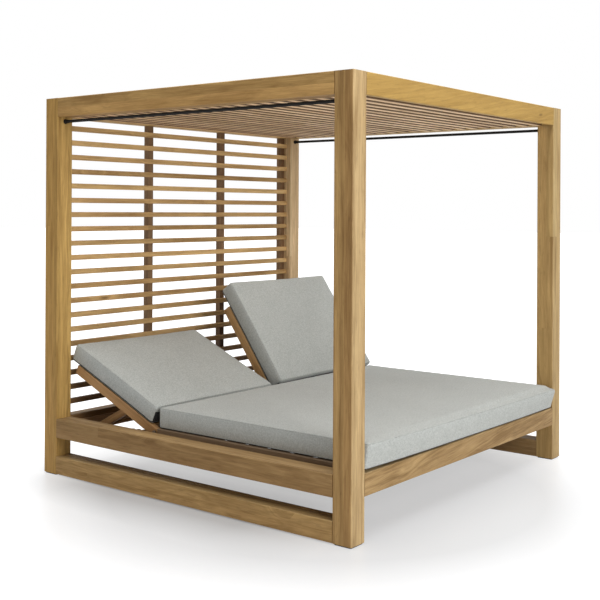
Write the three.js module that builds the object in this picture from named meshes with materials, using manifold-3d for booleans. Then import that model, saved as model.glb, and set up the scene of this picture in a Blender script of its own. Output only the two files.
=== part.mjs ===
// Outdoor daybed with a slatted canopy, a slatted back wall and two reclining backrests.
// Millimetres, +Z up, +X to the right, +Y to the head end; the origin is under the middle, on the ground.
import * as THREE from "three";
import { mergeVertices } from "three/addons/utils/BufferGeometryUtils.js";
import Module from "manifold-3d";

const wasm = await Module();
wasm.setup();

// Driving dimensions of the timber frame
const frameWidth = 2105;
const frameDepth = 2035;
const frameHeight = 2025;
const postSection = 100;
const memberHeight = 100;
const headMemberThickness = 70;
const footRailThickness = 70;
const fasciaThickness = 30;
const bedRailBottom = 200;
const glideHeight = 5;
const timberEase = 3;
const fitGap = 0.3;
const cutOverrun = 5;

// Mortise and tenon joints between posts and rails
const tenonLength = 25;
const tenonThicknessShare = 0.4;
const tenonHeightShare = 0.6;

// Slats of the back wall and of the roof, with the battens that carry them
const wallSlatCount = 20;
const wallSlatHeight = 28;
const wallSlatRise = 10;
const wallSlatDepth = 25;
const wallBattenWidth = 40;
const wallBattenDepth = 35;
const roofSlatCount = 23;
const roofSlatWidth = 40;
const roofSlatHeight = 25;
const roofBattenHeight = 25;
const slatEase = 2;
const slatHousing = 3;
const battenPlaceShares = [-1, -0.34, 0.34, 1];

// Curtain rods under the side beams
const rodRadius = 8;
const rodDrop = 24;
const socketFlangeRadius = 13;
const socketFlangeThickness = 5;
const socketWall = 2;
const socketDepth = 22;

// Fixed bed deck
const deckRise = 22;
const deckMemberHeight = 100;
const stileThickness = 28;
const foldRailThickness = 40;
const centreBeamThickness = 30;
const deckSlatCount = 9;
const deckSlatWidth = 68;
const deckSlatThickness = 16;
const cleatSection = 25;
const ledgerThickness = 28;
const ledgerHeight = 60;

// Backrest frames: lengths run from the hinge to the head end
const backrestLength = 660;
const backrestWallClearance = 10.5;
const backrestRailDepth = 50;
const backrestRailThickness = 28;
const backrestRimGap = 9.5;
const backrestCentreGap = 3;
const foldClearance = 3;
const footRailStart = 35;
const backrestSlatCount = 7;
const backrestSlatWidth = 55;
const backrestSlatThickness = 12;
const backrestSlatStub = 8;
const stringerWidth = 30;
const stringerDepth = 18;
const railEase = 2;

// Props and notched racks
const propReach = 247;
const propOffset = 10;
const propLegDepth = 38;
const propLegThickness = 28;
const propLegGap = 5;
const propBarRadius = 12;
const rackThickness = 28;
const rackGap = 7;
const rackBottom = 205;
const rackShoulderHeight = 262;
const rackBarClearance = 1;
const rackNotchDepth = 5;
const rackNotchSteps = 4;
const rackNotchesBehind = 1;
const rackNotchesAhead = 2;
const rackEndWood = 18;
const rackSlope = THREE.MathUtils.degToRad(3.5);

// Bolts
const hingeBoltRadius = 6;
const hingeBoltHeadRadius = 12;
const hingePlateThickness = 4;
const hingePlateRadius = 12;
const hingePlateDrop = 60;
const hingeScrewRadius = 3;
const hingeScrewShares = [0.45, 0.8];
const propBoltRadius = 5;
const propBoltHeadRadius = 9;
const boltHeadThickness = 4;
const collarRadius = 13;
const roundSides = 16;
const boltSides = 12;

// Mattress and backrest cushions
const mattressThickness = 105;
const mattressSideGap = 2.5;
const mattressFrontBulge = 30;
const mattressFrontOverhang = 12;
const mattressSetback = 27;
const mattressDraw = 5;
const mattressDroopLength = 36;
const mattressCrown = 8;
const cushionThickness = 100;
const cushionStart = 5;
const cushionWallClearance = 4;
const cushionSideGap = 3;
const cushionCentreGap = 23;
const cushionDraw = 4;
const cushionCrown = 9;
const cushionCornerRadius = 16;
const cushionEdgeRadius = 14;
const cushionSideSwell = 4;

// How each backrest stands: its angle above the deck, and how far its loose cushion rides up per radian
const backrests = [
  { name: "left", side: -1, angle: THREE.MathUtils.degToRad(23.4), cushionRide: 140 },
  { name: "right", side: 1, angle: THREE.MathUtils.degToRad(54.3), cushionRide: 114 },
];

// Places worked out from the dimensions
const postX = frameWidth / 2 - postSection / 2;
const postY = frameDepth / 2 - postSection / 2;
const clearX = frameWidth / 2 - postSection;
const clearY = frameDepth / 2 - postSection;
const bedRailTop = bedRailBottom + memberHeight;
const beamBottom = frameHeight - memberHeight;
const headPlane = frameDepth / 2 - headMemberThickness;
const footPlane = -(frameDepth / 2 - footRailThickness);
const fasciaPlane = -(frameDepth / 2 - fasciaThickness);
const deckTop = bedRailTop + deckRise;
const hingeY = headPlane - backrestWallClearance - backrestLength;
const hingeZ = deckTop - backrestRailDepth / 2;
const foldPlane = hingeY - backrestRailDepth / 2 - foldClearance;
const mattressRear = hingeY - mattressSetback;
const cushionLength = headPlane - cushionWallClearance - mattressRear - cushionStart;
const ledgerPlane = headPlane - fitGap - ledgerThickness;

const timber = new THREE.MeshStandardMaterial({ color: 0xb58a55, roughness: 0.6, metalness: 0 });
const slatTimber = new THREE.MeshStandardMaterial({ color: 0xa67c4b, roughness: 0.62, metalness: 0 });
const bedTimber = new THREE.MeshStandardMaterial({ color: 0x8f6a42, roughness: 0.65, metalness: 0 });
const rodMetal = new THREE.MeshStandardMaterial({ color: 0x1d1d1c, roughness: 0.4, metalness: 0.7 });
const boltSteel = new THREE.MeshStandardMaterial({ color: 0xa8a9aa, roughness: 0.35, metalness: 1 });
const glidePlastic = new THREE.MeshStandardMaterial({ color: 0x1a1a1a, roughness: 0.7, metalness: 0 });
const fabric = new THREE.MeshStandardMaterial({ color: 0xa8a9a4, roughness: 0.95, metalness: 0 });

const daybed = new THREE.Group();
// The mattress stands out in front, so the frame sits back by half of that.
const frame = new THREE.Group();
frame.position.y = mattressFrontBulge / 2;
daybed.add(frame);

function add(parent, name, geometry, material, x = 0, y = 0, z = 0) {
  const mesh = new THREE.Mesh(geometry, material);
  mesh.name = name;
  mesh.position.set(x, y, z);
  parent.add(mesh);
  return mesh;
}

// Joining and cutting
function toSolid(geometry) {
  const bare = geometry.clone();
  bare.deleteAttribute("normal");
  bare.deleteAttribute("uv");
  const merged = mergeVertices(bare);
  const vertProperties = merged.attributes.position.array;
  const triVerts = new Uint32Array(merged.index.array);
  return new wasm.Manifold(new wasm.Mesh({ numProp: 3, vertProperties, triVerts }));
}

function toGeometry(solid) {
  const mesh = solid.getMesh();
  const geometry = new THREE.BufferGeometry();
  geometry.setAttribute("position", new THREE.BufferAttribute(mesh.vertProperties, 3));
  geometry.setIndex(new THREE.BufferAttribute(mesh.triVerts, 1));
  return geometry;
}

function join(first, ...others) {
  return toGeometry(others.reduce((solid, other) => solid.add(toSolid(other)), toSolid(first)));
}

function cut(first, ...tools) {
  return toGeometry(tools.reduce((solid, tool) => solid.subtract(toSolid(tool)), toSolid(first)));
}

// Basic forms, each centred on its own origin
function turnTo(axis, geometry) {
  if (axis === "x") geometry.rotateY(Math.PI / 2);
  if (axis === "y") geometry.rotateX(Math.PI / 2);
  return geometry;
}

function easedShape(width, height, ease) {
  const x = width / 2;
  const y = height / 2;
  const shape = new THREE.Shape();
  shape.moveTo(-x + ease, -y);
  shape.lineTo(x - ease, -y);
  shape.lineTo(x, -y + ease);
  shape.lineTo(x, y - ease);
  shape.lineTo(x - ease, y);
  shape.lineTo(-x + ease, y);
  shape.lineTo(-x, y - ease);
  shape.lineTo(-x, -y + ease);
  shape.closePath();
  return shape;
}

// A straight timber with eased long edges; width is its size across the run on the level, height its upright size.
function bar(axis, length, width, height, ease = timberEase) {
  const section = axis === "x" ? easedShape(height, width, ease) : easedShape(width, height, ease);
  const solid = new THREE.ExtrudeGeometry(section, { depth: length, bevelEnabled: false });
  solid.translate(0, 0, -length / 2);
  return turnTo(axis, solid);
}

function block(x, y, z) {
  return new THREE.BoxGeometry(x, y, z);
}

function drill(radius, length, sides = boltSides) {
  return new THREE.CylinderGeometry(radius, radius, length, sides).rotateZ(Math.PI / 2);
}

// A side profile drawn in Y and Z, cut from a board that lies across X, with eased edges.
const boardPlane = new THREE.Matrix4().makeBasis(
  new THREE.Vector3(0, 1, 0),
  new THREE.Vector3(0, 0, 1),
  new THREE.Vector3(1, 0, 0),
);
function board(shape, thickness, ease, curveSegments = boltSides / 2) {
  const solid = new THREE.ExtrudeGeometry(shape, {
    depth: thickness - 2 * ease,
    bevelEnabled: ease > 0,
    bevelThickness: ease,
    bevelSize: ease,
    bevelOffset: -ease,
    bevelSegments: 1,
    curveSegments,
  });
  solid.translate(0, 0, -(thickness - 2 * ease) / 2);
  return solid.applyMatrix4(boardPlane);
}

// A turned piece along X from a list of [radius, place along X] pairs that starts and ends on the axis.
function turned(profile, sides = boltSides) {
  const points = profile.map(([radius, place]) => new THREE.Vector2(radius, place));
  return new THREE.LatheGeometry(points, sides).rotateZ(-Math.PI / 2);
}

// Rails with stub tenons
function tenonSize(thickness, height) {
  return { thickness: thickness * tenonThicknessShare, height: height * tenonHeightShare };
}

function rail(axis, span, thickness, height) {
  const tenon = tenonSize(thickness, height);
  const through = span + 2 * tenonLength;
  const body = bar(axis, span - 2 * fitGap, thickness, height);
  return join(
    body,
    axis === "x"
      ? block(through, tenon.thickness, tenon.height)
      : block(tenon.thickness, through, tenon.height),
  );
}

// The pocket for such a tenon, in a post's inner face; inward is the way from the post to the rail.
function mortise(axis, inward, thickness, height) {
  const tenon = tenonSize(thickness, height);
  const depth = tenonLength + fitGap + cutOverrun;
  const width = tenon.thickness + 2 * fitGap;
  const tall = tenon.height + 2 * fitGap;
  const place = inward * (postSection / 2 + cutOverrun - depth / 2);
  return axis === "x"
    ? block(depth, width, tall).translate(place, 0, 0)
    : block(width, depth, tall).translate(0, place, 0);
}

// Horizontal members between the posts
const bedRailZ = bedRailBottom + memberHeight / 2;
const lowRailBottom = glideHeight + fitGap;
const lowRailHeight = memberHeight - lowRailBottom;
const lowRailZ = lowRailBottom + lowRailHeight / 2;
const beamZ = beamBottom + memberHeight / 2;

const crossMembers = [
  { name: "bed_rail_front", y: -(frameDepth - footRailThickness) / 2, z: bedRailZ, thickness: footRailThickness },
  { name: "bed_rail_back", y: (frameDepth - headMemberThickness) / 2, z: bedRailZ, thickness: headMemberThickness },
  { name: "roof_fascia_front", y: -(frameDepth - fasciaThickness) / 2, z: beamZ, thickness: fasciaThickness },
  { name: "roof_beam_back", y: (frameDepth - headMemberThickness) / 2, z: beamZ, thickness: headMemberThickness },
];
const sideMembers = [
  { name: "bed_rail", z: bedRailZ, height: memberHeight },
  { name: "low_rail", z: lowRailZ, height: lowRailHeight },
  { name: "roof_beam", z: beamZ, height: memberHeight },
];

function addMembers() {
  for (const { name, y, z, thickness } of crossMembers)
    add(frame, name, rail("x", 2 * clearX, thickness, memberHeight), timber, 0, y, z);
  for (const { name: end, side } of backrests)
    for (const { name, z, height } of sideMembers) {
      add(frame, name + "_" + end, rail("y", 2 * clearY, postSection, height), timber, side * postX, 0, z);
    }
}

// Corner posts with a mortise for every member that meets them, on low square glides
function addPosts() {
  const bottom = glideHeight + fitGap;
  const length = frameHeight - bottom;
  const middle = bottom + length / 2;
  for (const [end, sideY] of [["front", -1], ["back", 1]])
    for (const { name, side } of backrests) {
      const x = side * postX;
      const y = sideY * postY;
      const pockets = [];
      for (const member of crossMembers)
        if (Math.sign(member.y) === sideY)
          pockets.push(
            mortise("x", -side, member.thickness, memberHeight).translate(0, member.y - y, member.z - middle),
          );
      for (const member of sideMembers)
        pockets.push(mortise("y", -sideY, postSection, member.height).translate(0, 0, member.z - middle));
      const label = end + "_" + name;
      add(frame, "post_" + label, cut(bar("z", length, postSection, postSection), ...pockets), timber, x, y, middle);
      const pad = postSection - 2 * glideHeight;
      add(frame, "glide_" + label, bar("z", glideHeight, pad, pad, glideHeight), glidePlastic, x, y, glideHeight / 2);
    }
}

// Back wall: slats screwed into shallow housings in front of four upright battens
function addWall() {
  const clearHeight = beamBottom - bedRailTop;
  const pitch = (clearHeight + wallSlatHeight) / (wallSlatCount + 1);
  const battenY = headPlane + wallSlatDepth - slatHousing + wallBattenDepth / 2;
  const battenLength = clearHeight - 2 * fitGap;
  const battenReach = clearX - fitGap - wallBattenWidth / 2;
  const slatLength = 2 * (clearX - fitGap);
  const pieces = battenPlaceShares.map((share) =>
    block(wallBattenWidth, wallBattenDepth, battenLength).translate(share * battenReach, battenY, 0),
  );
  for (let i = 0; i < wallSlatCount; i++)
    pieces.push(
      bar("x", slatLength, wallSlatDepth, wallSlatHeight, slatEase).translate(
        0,
        headPlane + wallSlatDepth / 2,
        (i + 1) * pitch - wallSlatHeight / 2 - clearHeight / 2 + wallSlatRise,
      ),
    );
  add(frame, "wall_slats", join(...pieces), slatTimber, 0, 0, bedRailTop + clearHeight / 2);
}

// Roof: slats across the width, hung under four battens that run from fascia to back beam
function addRoof() {
  const front = fasciaPlane + fitGap;
  const back = headPlane - fitGap;
  const pitch = (back - front + roofSlatWidth) / (roofSlatCount + 1);
  const battenZ = roofSlatHeight - slatHousing + roofBattenHeight / 2;
  const battenReach = clearX - fitGap - wallBattenWidth / 2;
  const slatLength = 2 * (clearX - fitGap);
  const pieces = battenPlaceShares.map((share) =>
    block(wallBattenWidth, back - front, roofBattenHeight).translate(
      share * battenReach,
      (front + back) / 2,
      battenZ,
    ),
  );
  for (let i = 0; i < roofSlatCount; i++)
    pieces.push(
      bar("x", slatLength, roofSlatWidth, roofSlatHeight, slatEase).translate(
        0,
        front - roofSlatWidth / 2 + (i + 1) * pitch,
        roofSlatHeight / 2,
      ),
    );
  add(frame, "roof_slats", join(...pieces), slatTimber, 0, 0, beamBottom);
}

// Curtain rods, each seated in two turned sockets on the inner faces of its posts
function addRods() {
  const rodZ = beamBottom - rodDrop;
  const bore = rodRadius + fitGap;
  const cup = bore + socketWall;
  const profile = [
    [0, 0],
    [socketFlangeRadius, 0],
    [socketFlangeRadius, socketFlangeThickness],
    [cup, socketFlangeThickness],
    [cup, socketDepth],
    [bore, socketDepth],
    [bore, socketFlangeThickness],
    [0, socketFlangeThickness],
  ];
  const rodLength = 2 * (clearY - socketFlangeThickness - 2 * fitGap);
  for (const { name, side } of backrests) {
    const rod = new THREE.CylinderGeometry(rodRadius, rodRadius, rodLength, roundSides);
    add(frame, "curtain_rod_" + name, rod, rodMetal, side * postX, 0, rodZ);
    for (const [end, sideY] of [["front", -1], ["back", 1]]) {
      const socket = turned(profile, roundSides).rotateZ((-sideY * Math.PI) / 2);
      const place = sideY * (clearY - fitGap);
      add(frame, "rod_socket_" + end + "_" + name, socket, rodMetal, side * postX, place, rodZ);
    }
  }
}

// Bed deck: stiles on the side rails, a centre beam, fold rails, slats on cleats and the head ledger
function addDeck() {
  const z = deckTop - deckMemberHeight / 2;
  const front = footPlane + fitGap;
  const stileLength = foldPlane - front;
  const beamLength = ledgerPlane - fitGap - front;
  const beamY = (front + ledgerPlane - fitGap) / 2;
  const beam = cut(
    bar("y", beamLength, centreBeamThickness, deckMemberHeight),
    drill(hingeBoltRadius + fitGap, centreBeamThickness + cutOverrun).translate(0, hingeY - beamY, hingeZ - z),
  );
  add(frame, "centre_beam", beam, bedTimber, 0, beamY, z);

  const ledgerZ = hingeZ - backrestRailDepth / 2 - fitGap - ledgerHeight / 2;
  const ledger = bar("x", 2 * (clearX - fitGap), ledgerThickness, ledgerHeight);
  add(frame, "head_ledger", ledger, bedTimber, 0, ledgerPlane + ledgerThickness / 2, ledgerZ);

  const stileX = clearX - fitGap - stileThickness / 2;
  const inner = centreBeamThickness / 2 + fitGap;
  const outer = clearX - stileThickness - 2 * fitGap;
  const bayWidth = outer - inner;
  const foldFront = foldPlane - foldRailThickness - fitGap;
  const slatPitch = (foldFront - front - deckSlatWidth) / (deckSlatCount - 1);
  for (const { name, side } of backrests) {
    const stile = bar("y", stileLength, stileThickness, deckMemberHeight);
    add(frame, "deck_stile_" + name, stile, bedTimber, side * stileX, front + stileLength / 2, z);
    const bayX = (side * (inner + outer)) / 2;
    const fold = bar("x", bayWidth, foldRailThickness, deckMemberHeight);
    add(frame, "fold_rail_" + name, fold, bedTimber, bayX, foldPlane - foldRailThickness / 2, z);
    const pieces = [-1, 1].map((edge) =>
      block(cleatSection, foldFront - front, cleatSection).translate(
        (edge * (bayWidth - cleatSection)) / 2,
        (foldFront + front) / 2,
        -cleatSection / 2,
      ),
    );
    for (let i = 0; i < deckSlatCount; i++)
      pieces.push(
        block(bayWidth, deckSlatWidth, deckSlatThickness + slatEase).translate(
          0,
          front + deckSlatWidth / 2 + i * slatPitch,
          (deckSlatThickness - slatEase) / 2,
        ),
      );
    add(frame, "deck_slats_" + name, join(...pieces), bedTimber, bayX, 0, deckTop - deckSlatThickness);
  }
}

// The prop linkage. The backrest hinge, the prop's pin and its foot bar make a triangle with two equal
// sides, so the foot bar keeps to one straight line through the hinge and the prop turns twice as far.
const propLength = Math.hypot(propReach, propOffset);
const propLag = Math.atan2(propOffset, propReach);
const apexAngle = (angle) => angle - propLag + rackSlope;
const footDistance = (angle) => 2 * propLength * Math.cos(apexAngle(angle));
const frameHalf = (frameWidth / 2 - postSection - backrestRimGap - centreBeamThickness / 2 - backrestCentreGap) / 2;
const backrestX = centreBeamThickness / 2 + backrestCentreGap + frameHalf;
const railX = frameHalf - backrestRailThickness / 2;
const legX = frameHalf - backrestRailThickness - propLegGap - propLegThickness / 2;
const rackX = legX - propLegThickness / 2 - rackGap - rackThickness / 2;

// Racks: boards with a sloping notched edge just under the foot bar's line
function rackShape() {
  const lineDrop = (propBarRadius + rackBarClearance) / Math.cos(rackSlope);
  const lineZ = (y) => hingeZ - lineDrop - (y - hingeY) * Math.tan(rackSlope);
  const spans = backrests.map(({ angle }) => footDistance(angle));
  const notchPitch = (spans[0] - spans[1]) / rackNotchSteps;
  const front = foldPlane + fitGap;
  const back = ledgerPlane - fitGap;
  const notchRadius = propBarRadius + rackBarClearance + rackNotchDepth;
  const halfNotch = Math.acos((propBarRadius + rackBarClearance) / notchRadius);
  const down = -Math.PI / 2 - rackSlope;
  const shape = new THREE.Shape();
  shape.moveTo(front, rackBottom);
  shape.lineTo(back, rackBottom);
  shape.lineTo(back, lineZ(back));
  for (let k = -rackNotchesBehind; k <= rackNotchSteps + rackNotchesAhead; k++) {
    const along = spans[0] - k * notchPitch;
    const y = hingeY + along * Math.cos(rackSlope);
    const z = hingeZ - along * Math.sin(rackSlope);
    shape.absarc(y, z, notchRadius, down + halfNotch, down - halfNotch, true);
  }
  const last = spans[0] - (rackNotchSteps + rackNotchesAhead) * notchPitch;
  const toothEnd = hingeY + last - notchRadius - rackEndWood;
  shape.lineTo(toothEnd, lineZ(toothEnd));
  shape.lineTo(toothEnd - rackEndWood, rackShoulderHeight);
  shape.lineTo(front, rackShoulderHeight);
  shape.closePath();
  return shape;
}

function addRacks() {
  const rack = board(rackShape(), rackThickness, 0, roundSides / 4);
  for (const { name, side } of backrests)
    for (const [place, edge] of [["outer", 1], ["inner", -1]])
      add(frame, "rack_" + name + "_" + place, rack, bedTimber, side * (backrestX + edge * rackX), 0, 0);
}

// A board with one round end at the origin, running along +Y
function roundedArm(length, depth, squareEnd) {
  const radius = depth / 2;
  const shape = new THREE.Shape();
  shape.moveTo(0, -radius);
  if (squareEnd) {
    shape.lineTo(length - radius / 2, -radius);
    shape.quadraticCurveTo(length, -radius, length, -radius / 2);
    shape.lineTo(length, radius - railEase);
    shape.lineTo(length - railEase, radius);
  } else {
    shape.lineTo(length, -radius);
    shape.absarc(length, 0, radius, -Math.PI / 2, Math.PI / 2, false);
  }
  shape.lineTo(0, radius);
  shape.absarc(0, 0, radius, Math.PI / 2, (3 * Math.PI) / 2, false);
  return shape;
}

// Cushions: rings of one outline, stacked from the middle of the underside to the middle of the top.
// Draws are how far each edge pulls in between its corners; a negative one swells out.
function cushion({ width, length, thickness, crown, draws, droop = () => 0, droopStart = -length }) {
  const sideSteps = 6;
  const cornerSteps = 3;
  const creaseShare = 0.96;
  const outline = [];
  const corners = [[1, -1], [1, 1], [-1, 1], [-1, -1]];
  corners.forEach(([sx, sy], i) => {
    for (let k = 0; k <= cornerSteps; k++) outline.push({ sx, sy, turn: ((i - 1) + k / cornerSteps) * (Math.PI / 2) });
    const [nx, ny] = corners[(i + 1) % corners.length];
    const shares = Array.from({ length: sideSteps - 1 }, (_, k) => (k + 1) / sideSteps);
    // The two sides also bend where the underside starts to hang down.
    const bend = (droopStart + length / 2 - cushionCornerRadius) / (length - 2 * cushionCornerRadius);
    if (bend > 0 && sy !== ny) shares.push(sy < ny ? bend : 1 - bend);
    for (const along of shares.sort((a, b) => a - b)) outline.push({ sx, sy, nx, ny, along, draw: draws[i] });
  });
  const ringPoint = (point, inset, share) => {
    const hx = width / 2 - cushionCornerRadius;
    const hy = length / 2 - cushionCornerRadius;
    const reach = cushionCornerRadius - inset;
    let x;
    let y;
    if (point.along === undefined) {
      x = point.sx * hx + reach * Math.cos(point.turn);
      y = point.sy * hy + reach * Math.sin(point.turn);
    } else {
      const pull = reach - point.draw * Math.sin(Math.PI * point.along);
      const across = point.sx === point.nx;
      x = THREE.MathUtils.lerp(point.sx, point.nx, point.along) * hx + (across ? point.sx * pull : 0);
      y = THREE.MathUtils.lerp(point.sy, point.ny, point.along) * hy + (across ? 0 : point.sy * pull);
    }
    const held = share === creaseShare && y < droopStart - fitGap;
    return [x * share, held ? droopStart : y * share];
  };
  const levels = [];
  const capShares = [0.4, 0.75, creaseShare];
  const edge = cushionEdgeRadius;
  for (const share of capShares) levels.push({ inset: edge, share, z: 0, top: 0 });
  const roundShares = [0, 0.33, 0.67, 1];
  for (const share of roundShares) {
    const turn = (share * Math.PI) / 2;
    levels.push({ inset: edge * (1 - Math.sin(turn)), share: 1, z: edge * (1 - Math.cos(turn)), top: 0 });
  }
  levels.push({ inset: -cushionSideSwell, share: 1, z: thickness / 2, top: 0.5 });
  for (const share of [...roundShares].reverse()) {
    const turn = (share * Math.PI) / 2;
    const z = thickness - edge * (1 - Math.cos(turn));
    levels.push({ inset: edge * (1 - Math.sin(turn)), share: 1, z, top: 1 });
  }
  const crownShares = [0.93, 0.8, 0.6, 0.35];
  const crownHeight = (share) => thickness + crown * Math.cos((share * Math.PI) / 2);
  for (const share of crownShares) levels.push({ inset: edge, share, z: crownHeight(share), top: 1 });

  const positions = [];
  const put = (x, y, z, top) => positions.push(x, y, z - droop(y) * (1 - top / 2));
  put(0, 0, 0, 0);
  for (const level of levels)
    for (const point of outline) put(...ringPoint(point, level.inset, level.share), level.z, level.top);
  put(0, 0, crownHeight(0), 1);
  const count = outline.length;
  const index = [];
  const last = positions.length / 3 - 1;
  for (let i = 0; i < count; i++) {
    const next = (i + 1) % count;
    index.push(0, 1 + next, 1 + i);
    for (let ring = 0; ring < levels.length - 1; ring++) {
      const a = 1 + ring * count;
      const b = a + count;
      if (outline[i].sx > 0) index.push(a + i, a + next, b + next, a + i, b + next, b + i);
      else index.push(a + i, a + next, b + i, a + next, b + next, b + i);
    }
    index.push(last - count + i, last - count + next, last);
  }
  const geometry = new THREE.BufferGeometry();
  geometry.setAttribute("position", new THREE.Float32BufferAttribute(positions, 3));
  geometry.setIndex(index);
  geometry.computeVertexNormals();
  return geometry;
}

// Mattress: one pad across the bed; its front edge hangs a little over the foot rail and down onto it
function addMattress() {
  const front = -(frameDepth / 2 + mattressFrontOverhang);
  const length = mattressRear - front;
  const width = 2 * (clearX - mattressSideGap - cushionSideSwell);
  const bulge = mattressFrontBulge - mattressFrontOverhang - cushionSideSwell;
  const droopStart = footPlane - (front + length / 2);
  const droop = (y) => deckRise * THREE.MathUtils.clamp((droopStart - y) / mattressDroopLength, 0, 1);
  const geometry = cushion({
    width,
    length,
    thickness: mattressThickness,
    crown: mattressCrown,
    draws: [mattressDraw, mattressDraw, mattressDraw, -bulge],
    droop,
    droopStart,
  });
  add(frame, "mattress", geometry, fabric, 0, front + length / 2, deckTop + fitGap);
}

// Backrests: side rails, head and foot rails, slats on a stringer, prop, bolts and cushion
function sideRail(inward) {
  const rail = board(roundedArm(backrestLength, backrestRailDepth, true), backrestRailThickness, railEase);
  const through = backrestRailThickness + cutOverrun;
  const counterbore = boltHeadThickness + fitGap + cutOverrun;
  const counterboreX = -inward * (backrestRailThickness / 2 + cutOverrun - counterbore / 2);
  const tools = [
    drill(hingeBoltRadius + fitGap, through),
    drill(propBoltRadius + fitGap, through).translate(0, propReach, -propOffset),
    drill(propBoltHeadRadius + fitGap, counterbore).translate(counterboreX, propReach, -propOffset),
  ];
  const pocket = backrestSlatStub + fitGap + cutOverrun;
  const pocketX = inward * (backrestRailThickness / 2 + cutOverrun - pocket / 2);
  for (const y of slatPlaces())
    tools.push(
      block(pocket, backrestSlatWidth + 2 * fitGap, backrestSlatThickness + 2 * fitGap).translate(
        pocketX,
        y,
        slatLevel,
      ),
    );
  return cut(rail, ...tools);
}

const slatLevel = backrestRailDepth / 2 - railEase - backrestSlatThickness / 2;
const headRailStart = backrestLength - backrestRailThickness;

function slatPlaces() {
  const start = footRailStart + backrestRailThickness;
  const gap = (headRailStart - start - backrestSlatCount * backrestSlatWidth) / (backrestSlatCount + 1);
  return Array.from(
    { length: backrestSlatCount },
    (_, i) => start + gap + backrestSlatWidth / 2 + i * (gap + backrestSlatWidth),
  );
}

function backrestSlats() {
  const inside = 2 * (frameHalf - backrestRailThickness);
  const start = footRailStart + backrestRailThickness + fitGap;
  const end = headRailStart - fitGap;
  const stringerLevel = slatLevel - backrestSlatThickness / 2 - stringerDepth / 2 + railEase;
  const pieces = [
    block(stringerWidth, end - start, stringerDepth + railEase).translate(0, (start + end) / 2, stringerLevel),
  ];
  for (const y of slatPlaces())
    pieces.push(
      block(inside + 2 * backrestSlatStub, backrestSlatWidth, backrestSlatThickness).translate(0, y, slatLevel),
    );
  return join(...pieces);
}

function prop() {
  const legs = [-1, 1].map((edge) =>
    cut(
      board(roundedArm(propLength, propLegDepth, false), propLegThickness, railEase),
      drill(propBoltRadius + fitGap, propLegThickness + cutOverrun),
    ).translate(edge * legX, 0, 0),
  );
  return join(...legs, drill(propBarRadius, 2 * legX, roundSides).translate(0, propLength, 0));
}

// A bolt through a backrest rail and its prop leg, with a collar between them. Its head lies flush in
// a counterbore, because the inner rails pass close by the centre beam. Outward is away from the leg.
function propBolt(outward) {
  const head = backrestRailThickness / 2 - boltHeadThickness;
  const collarEnd = -(backrestRailThickness / 2 + propLegGap - fitGap);
  const nut = -(backrestRailThickness / 2 + propLegGap + propLegThickness + fitGap);
  return turned([
    [0, head + boltHeadThickness],
    [propBoltHeadRadius, head + boltHeadThickness],
    [propBoltHeadRadius, head],
    [propBoltRadius, head],
    [propBoltRadius, -(backrestRailThickness / 2 + fitGap)],
    [collarRadius - fitGap, -(backrestRailThickness / 2 + fitGap)],
    [collarRadius - fitGap, collarEnd],
    [propBoltRadius, collarEnd],
    [propBoltRadius, nut],
    [propBoltHeadRadius, nut],
    [propBoltHeadRadius, nut - boltHeadThickness],
    [0, nut - boltHeadThickness],
  ].reverse()).scale(outward, outward, 1);
}

// The outer hinge is a plate screwed to the bed's side rail, with a welded bolt and a collar.
function outerHinge(side) {
  const face = backrestRimGap - fitGap;
  const nut = backrestRimGap + backrestRailThickness + fitGap;
  const bolt = turned([
    [0, fitGap + hingePlateThickness / 2],
    [collarRadius - fitGap, fitGap + hingePlateThickness / 2],
    [collarRadius - fitGap, face],
    [hingeBoltRadius, face],
    [hingeBoltRadius, nut],
    [hingeBoltHeadRadius, nut],
    [hingeBoltHeadRadius, nut + boltHeadThickness],
    [0, nut + boltHeadThickness],
  ]).scale(-side, -side, 1);
  const shape = new THREE.Shape();
  shape.moveTo(-hingePlateRadius, -hingePlateDrop);
  shape.lineTo(hingePlateRadius, -hingePlateDrop);
  shape.absarc(0, 0, hingePlateRadius, 0, Math.PI, false);
  shape.closePath();
  for (const share of hingeScrewShares) {
    const hole = new THREE.Path();
    hole.absarc(0, -share * hingePlateDrop, hingeScrewRadius, 0, 2 * Math.PI, true);
    shape.holes.push(hole);
  }
  const plate = board(shape, hingePlateThickness, 0);
  return join(plate.translate(-side * (fitGap + hingePlateThickness / 2), 0, 0), bolt);
}

// One bolt through the centre beam carries the inner rails of both backrests.
function centreHingeBolt() {
  const collarStart = centreBeamThickness / 2 + fitGap;
  const collarEnd = centreBeamThickness / 2 + backrestCentreGap - fitGap;
  const nut = centreBeamThickness / 2 + backrestCentreGap + backrestRailThickness + fitGap;
  const half = [
    [hingeBoltRadius, collarStart],
    [collarRadius, collarStart],
    [collarRadius, collarEnd],
    [hingeBoltRadius, collarEnd],
    [hingeBoltRadius, nut],
    [hingeBoltHeadRadius, nut],
    [hingeBoltHeadRadius, nut + boltHeadThickness],
    [0, nut + boltHeadThickness],
  ];
  const mirrored = half.map(([radius, place]) => [radius, -place]).reverse();
  return turned([...mirrored, ...half]);
}

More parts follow.
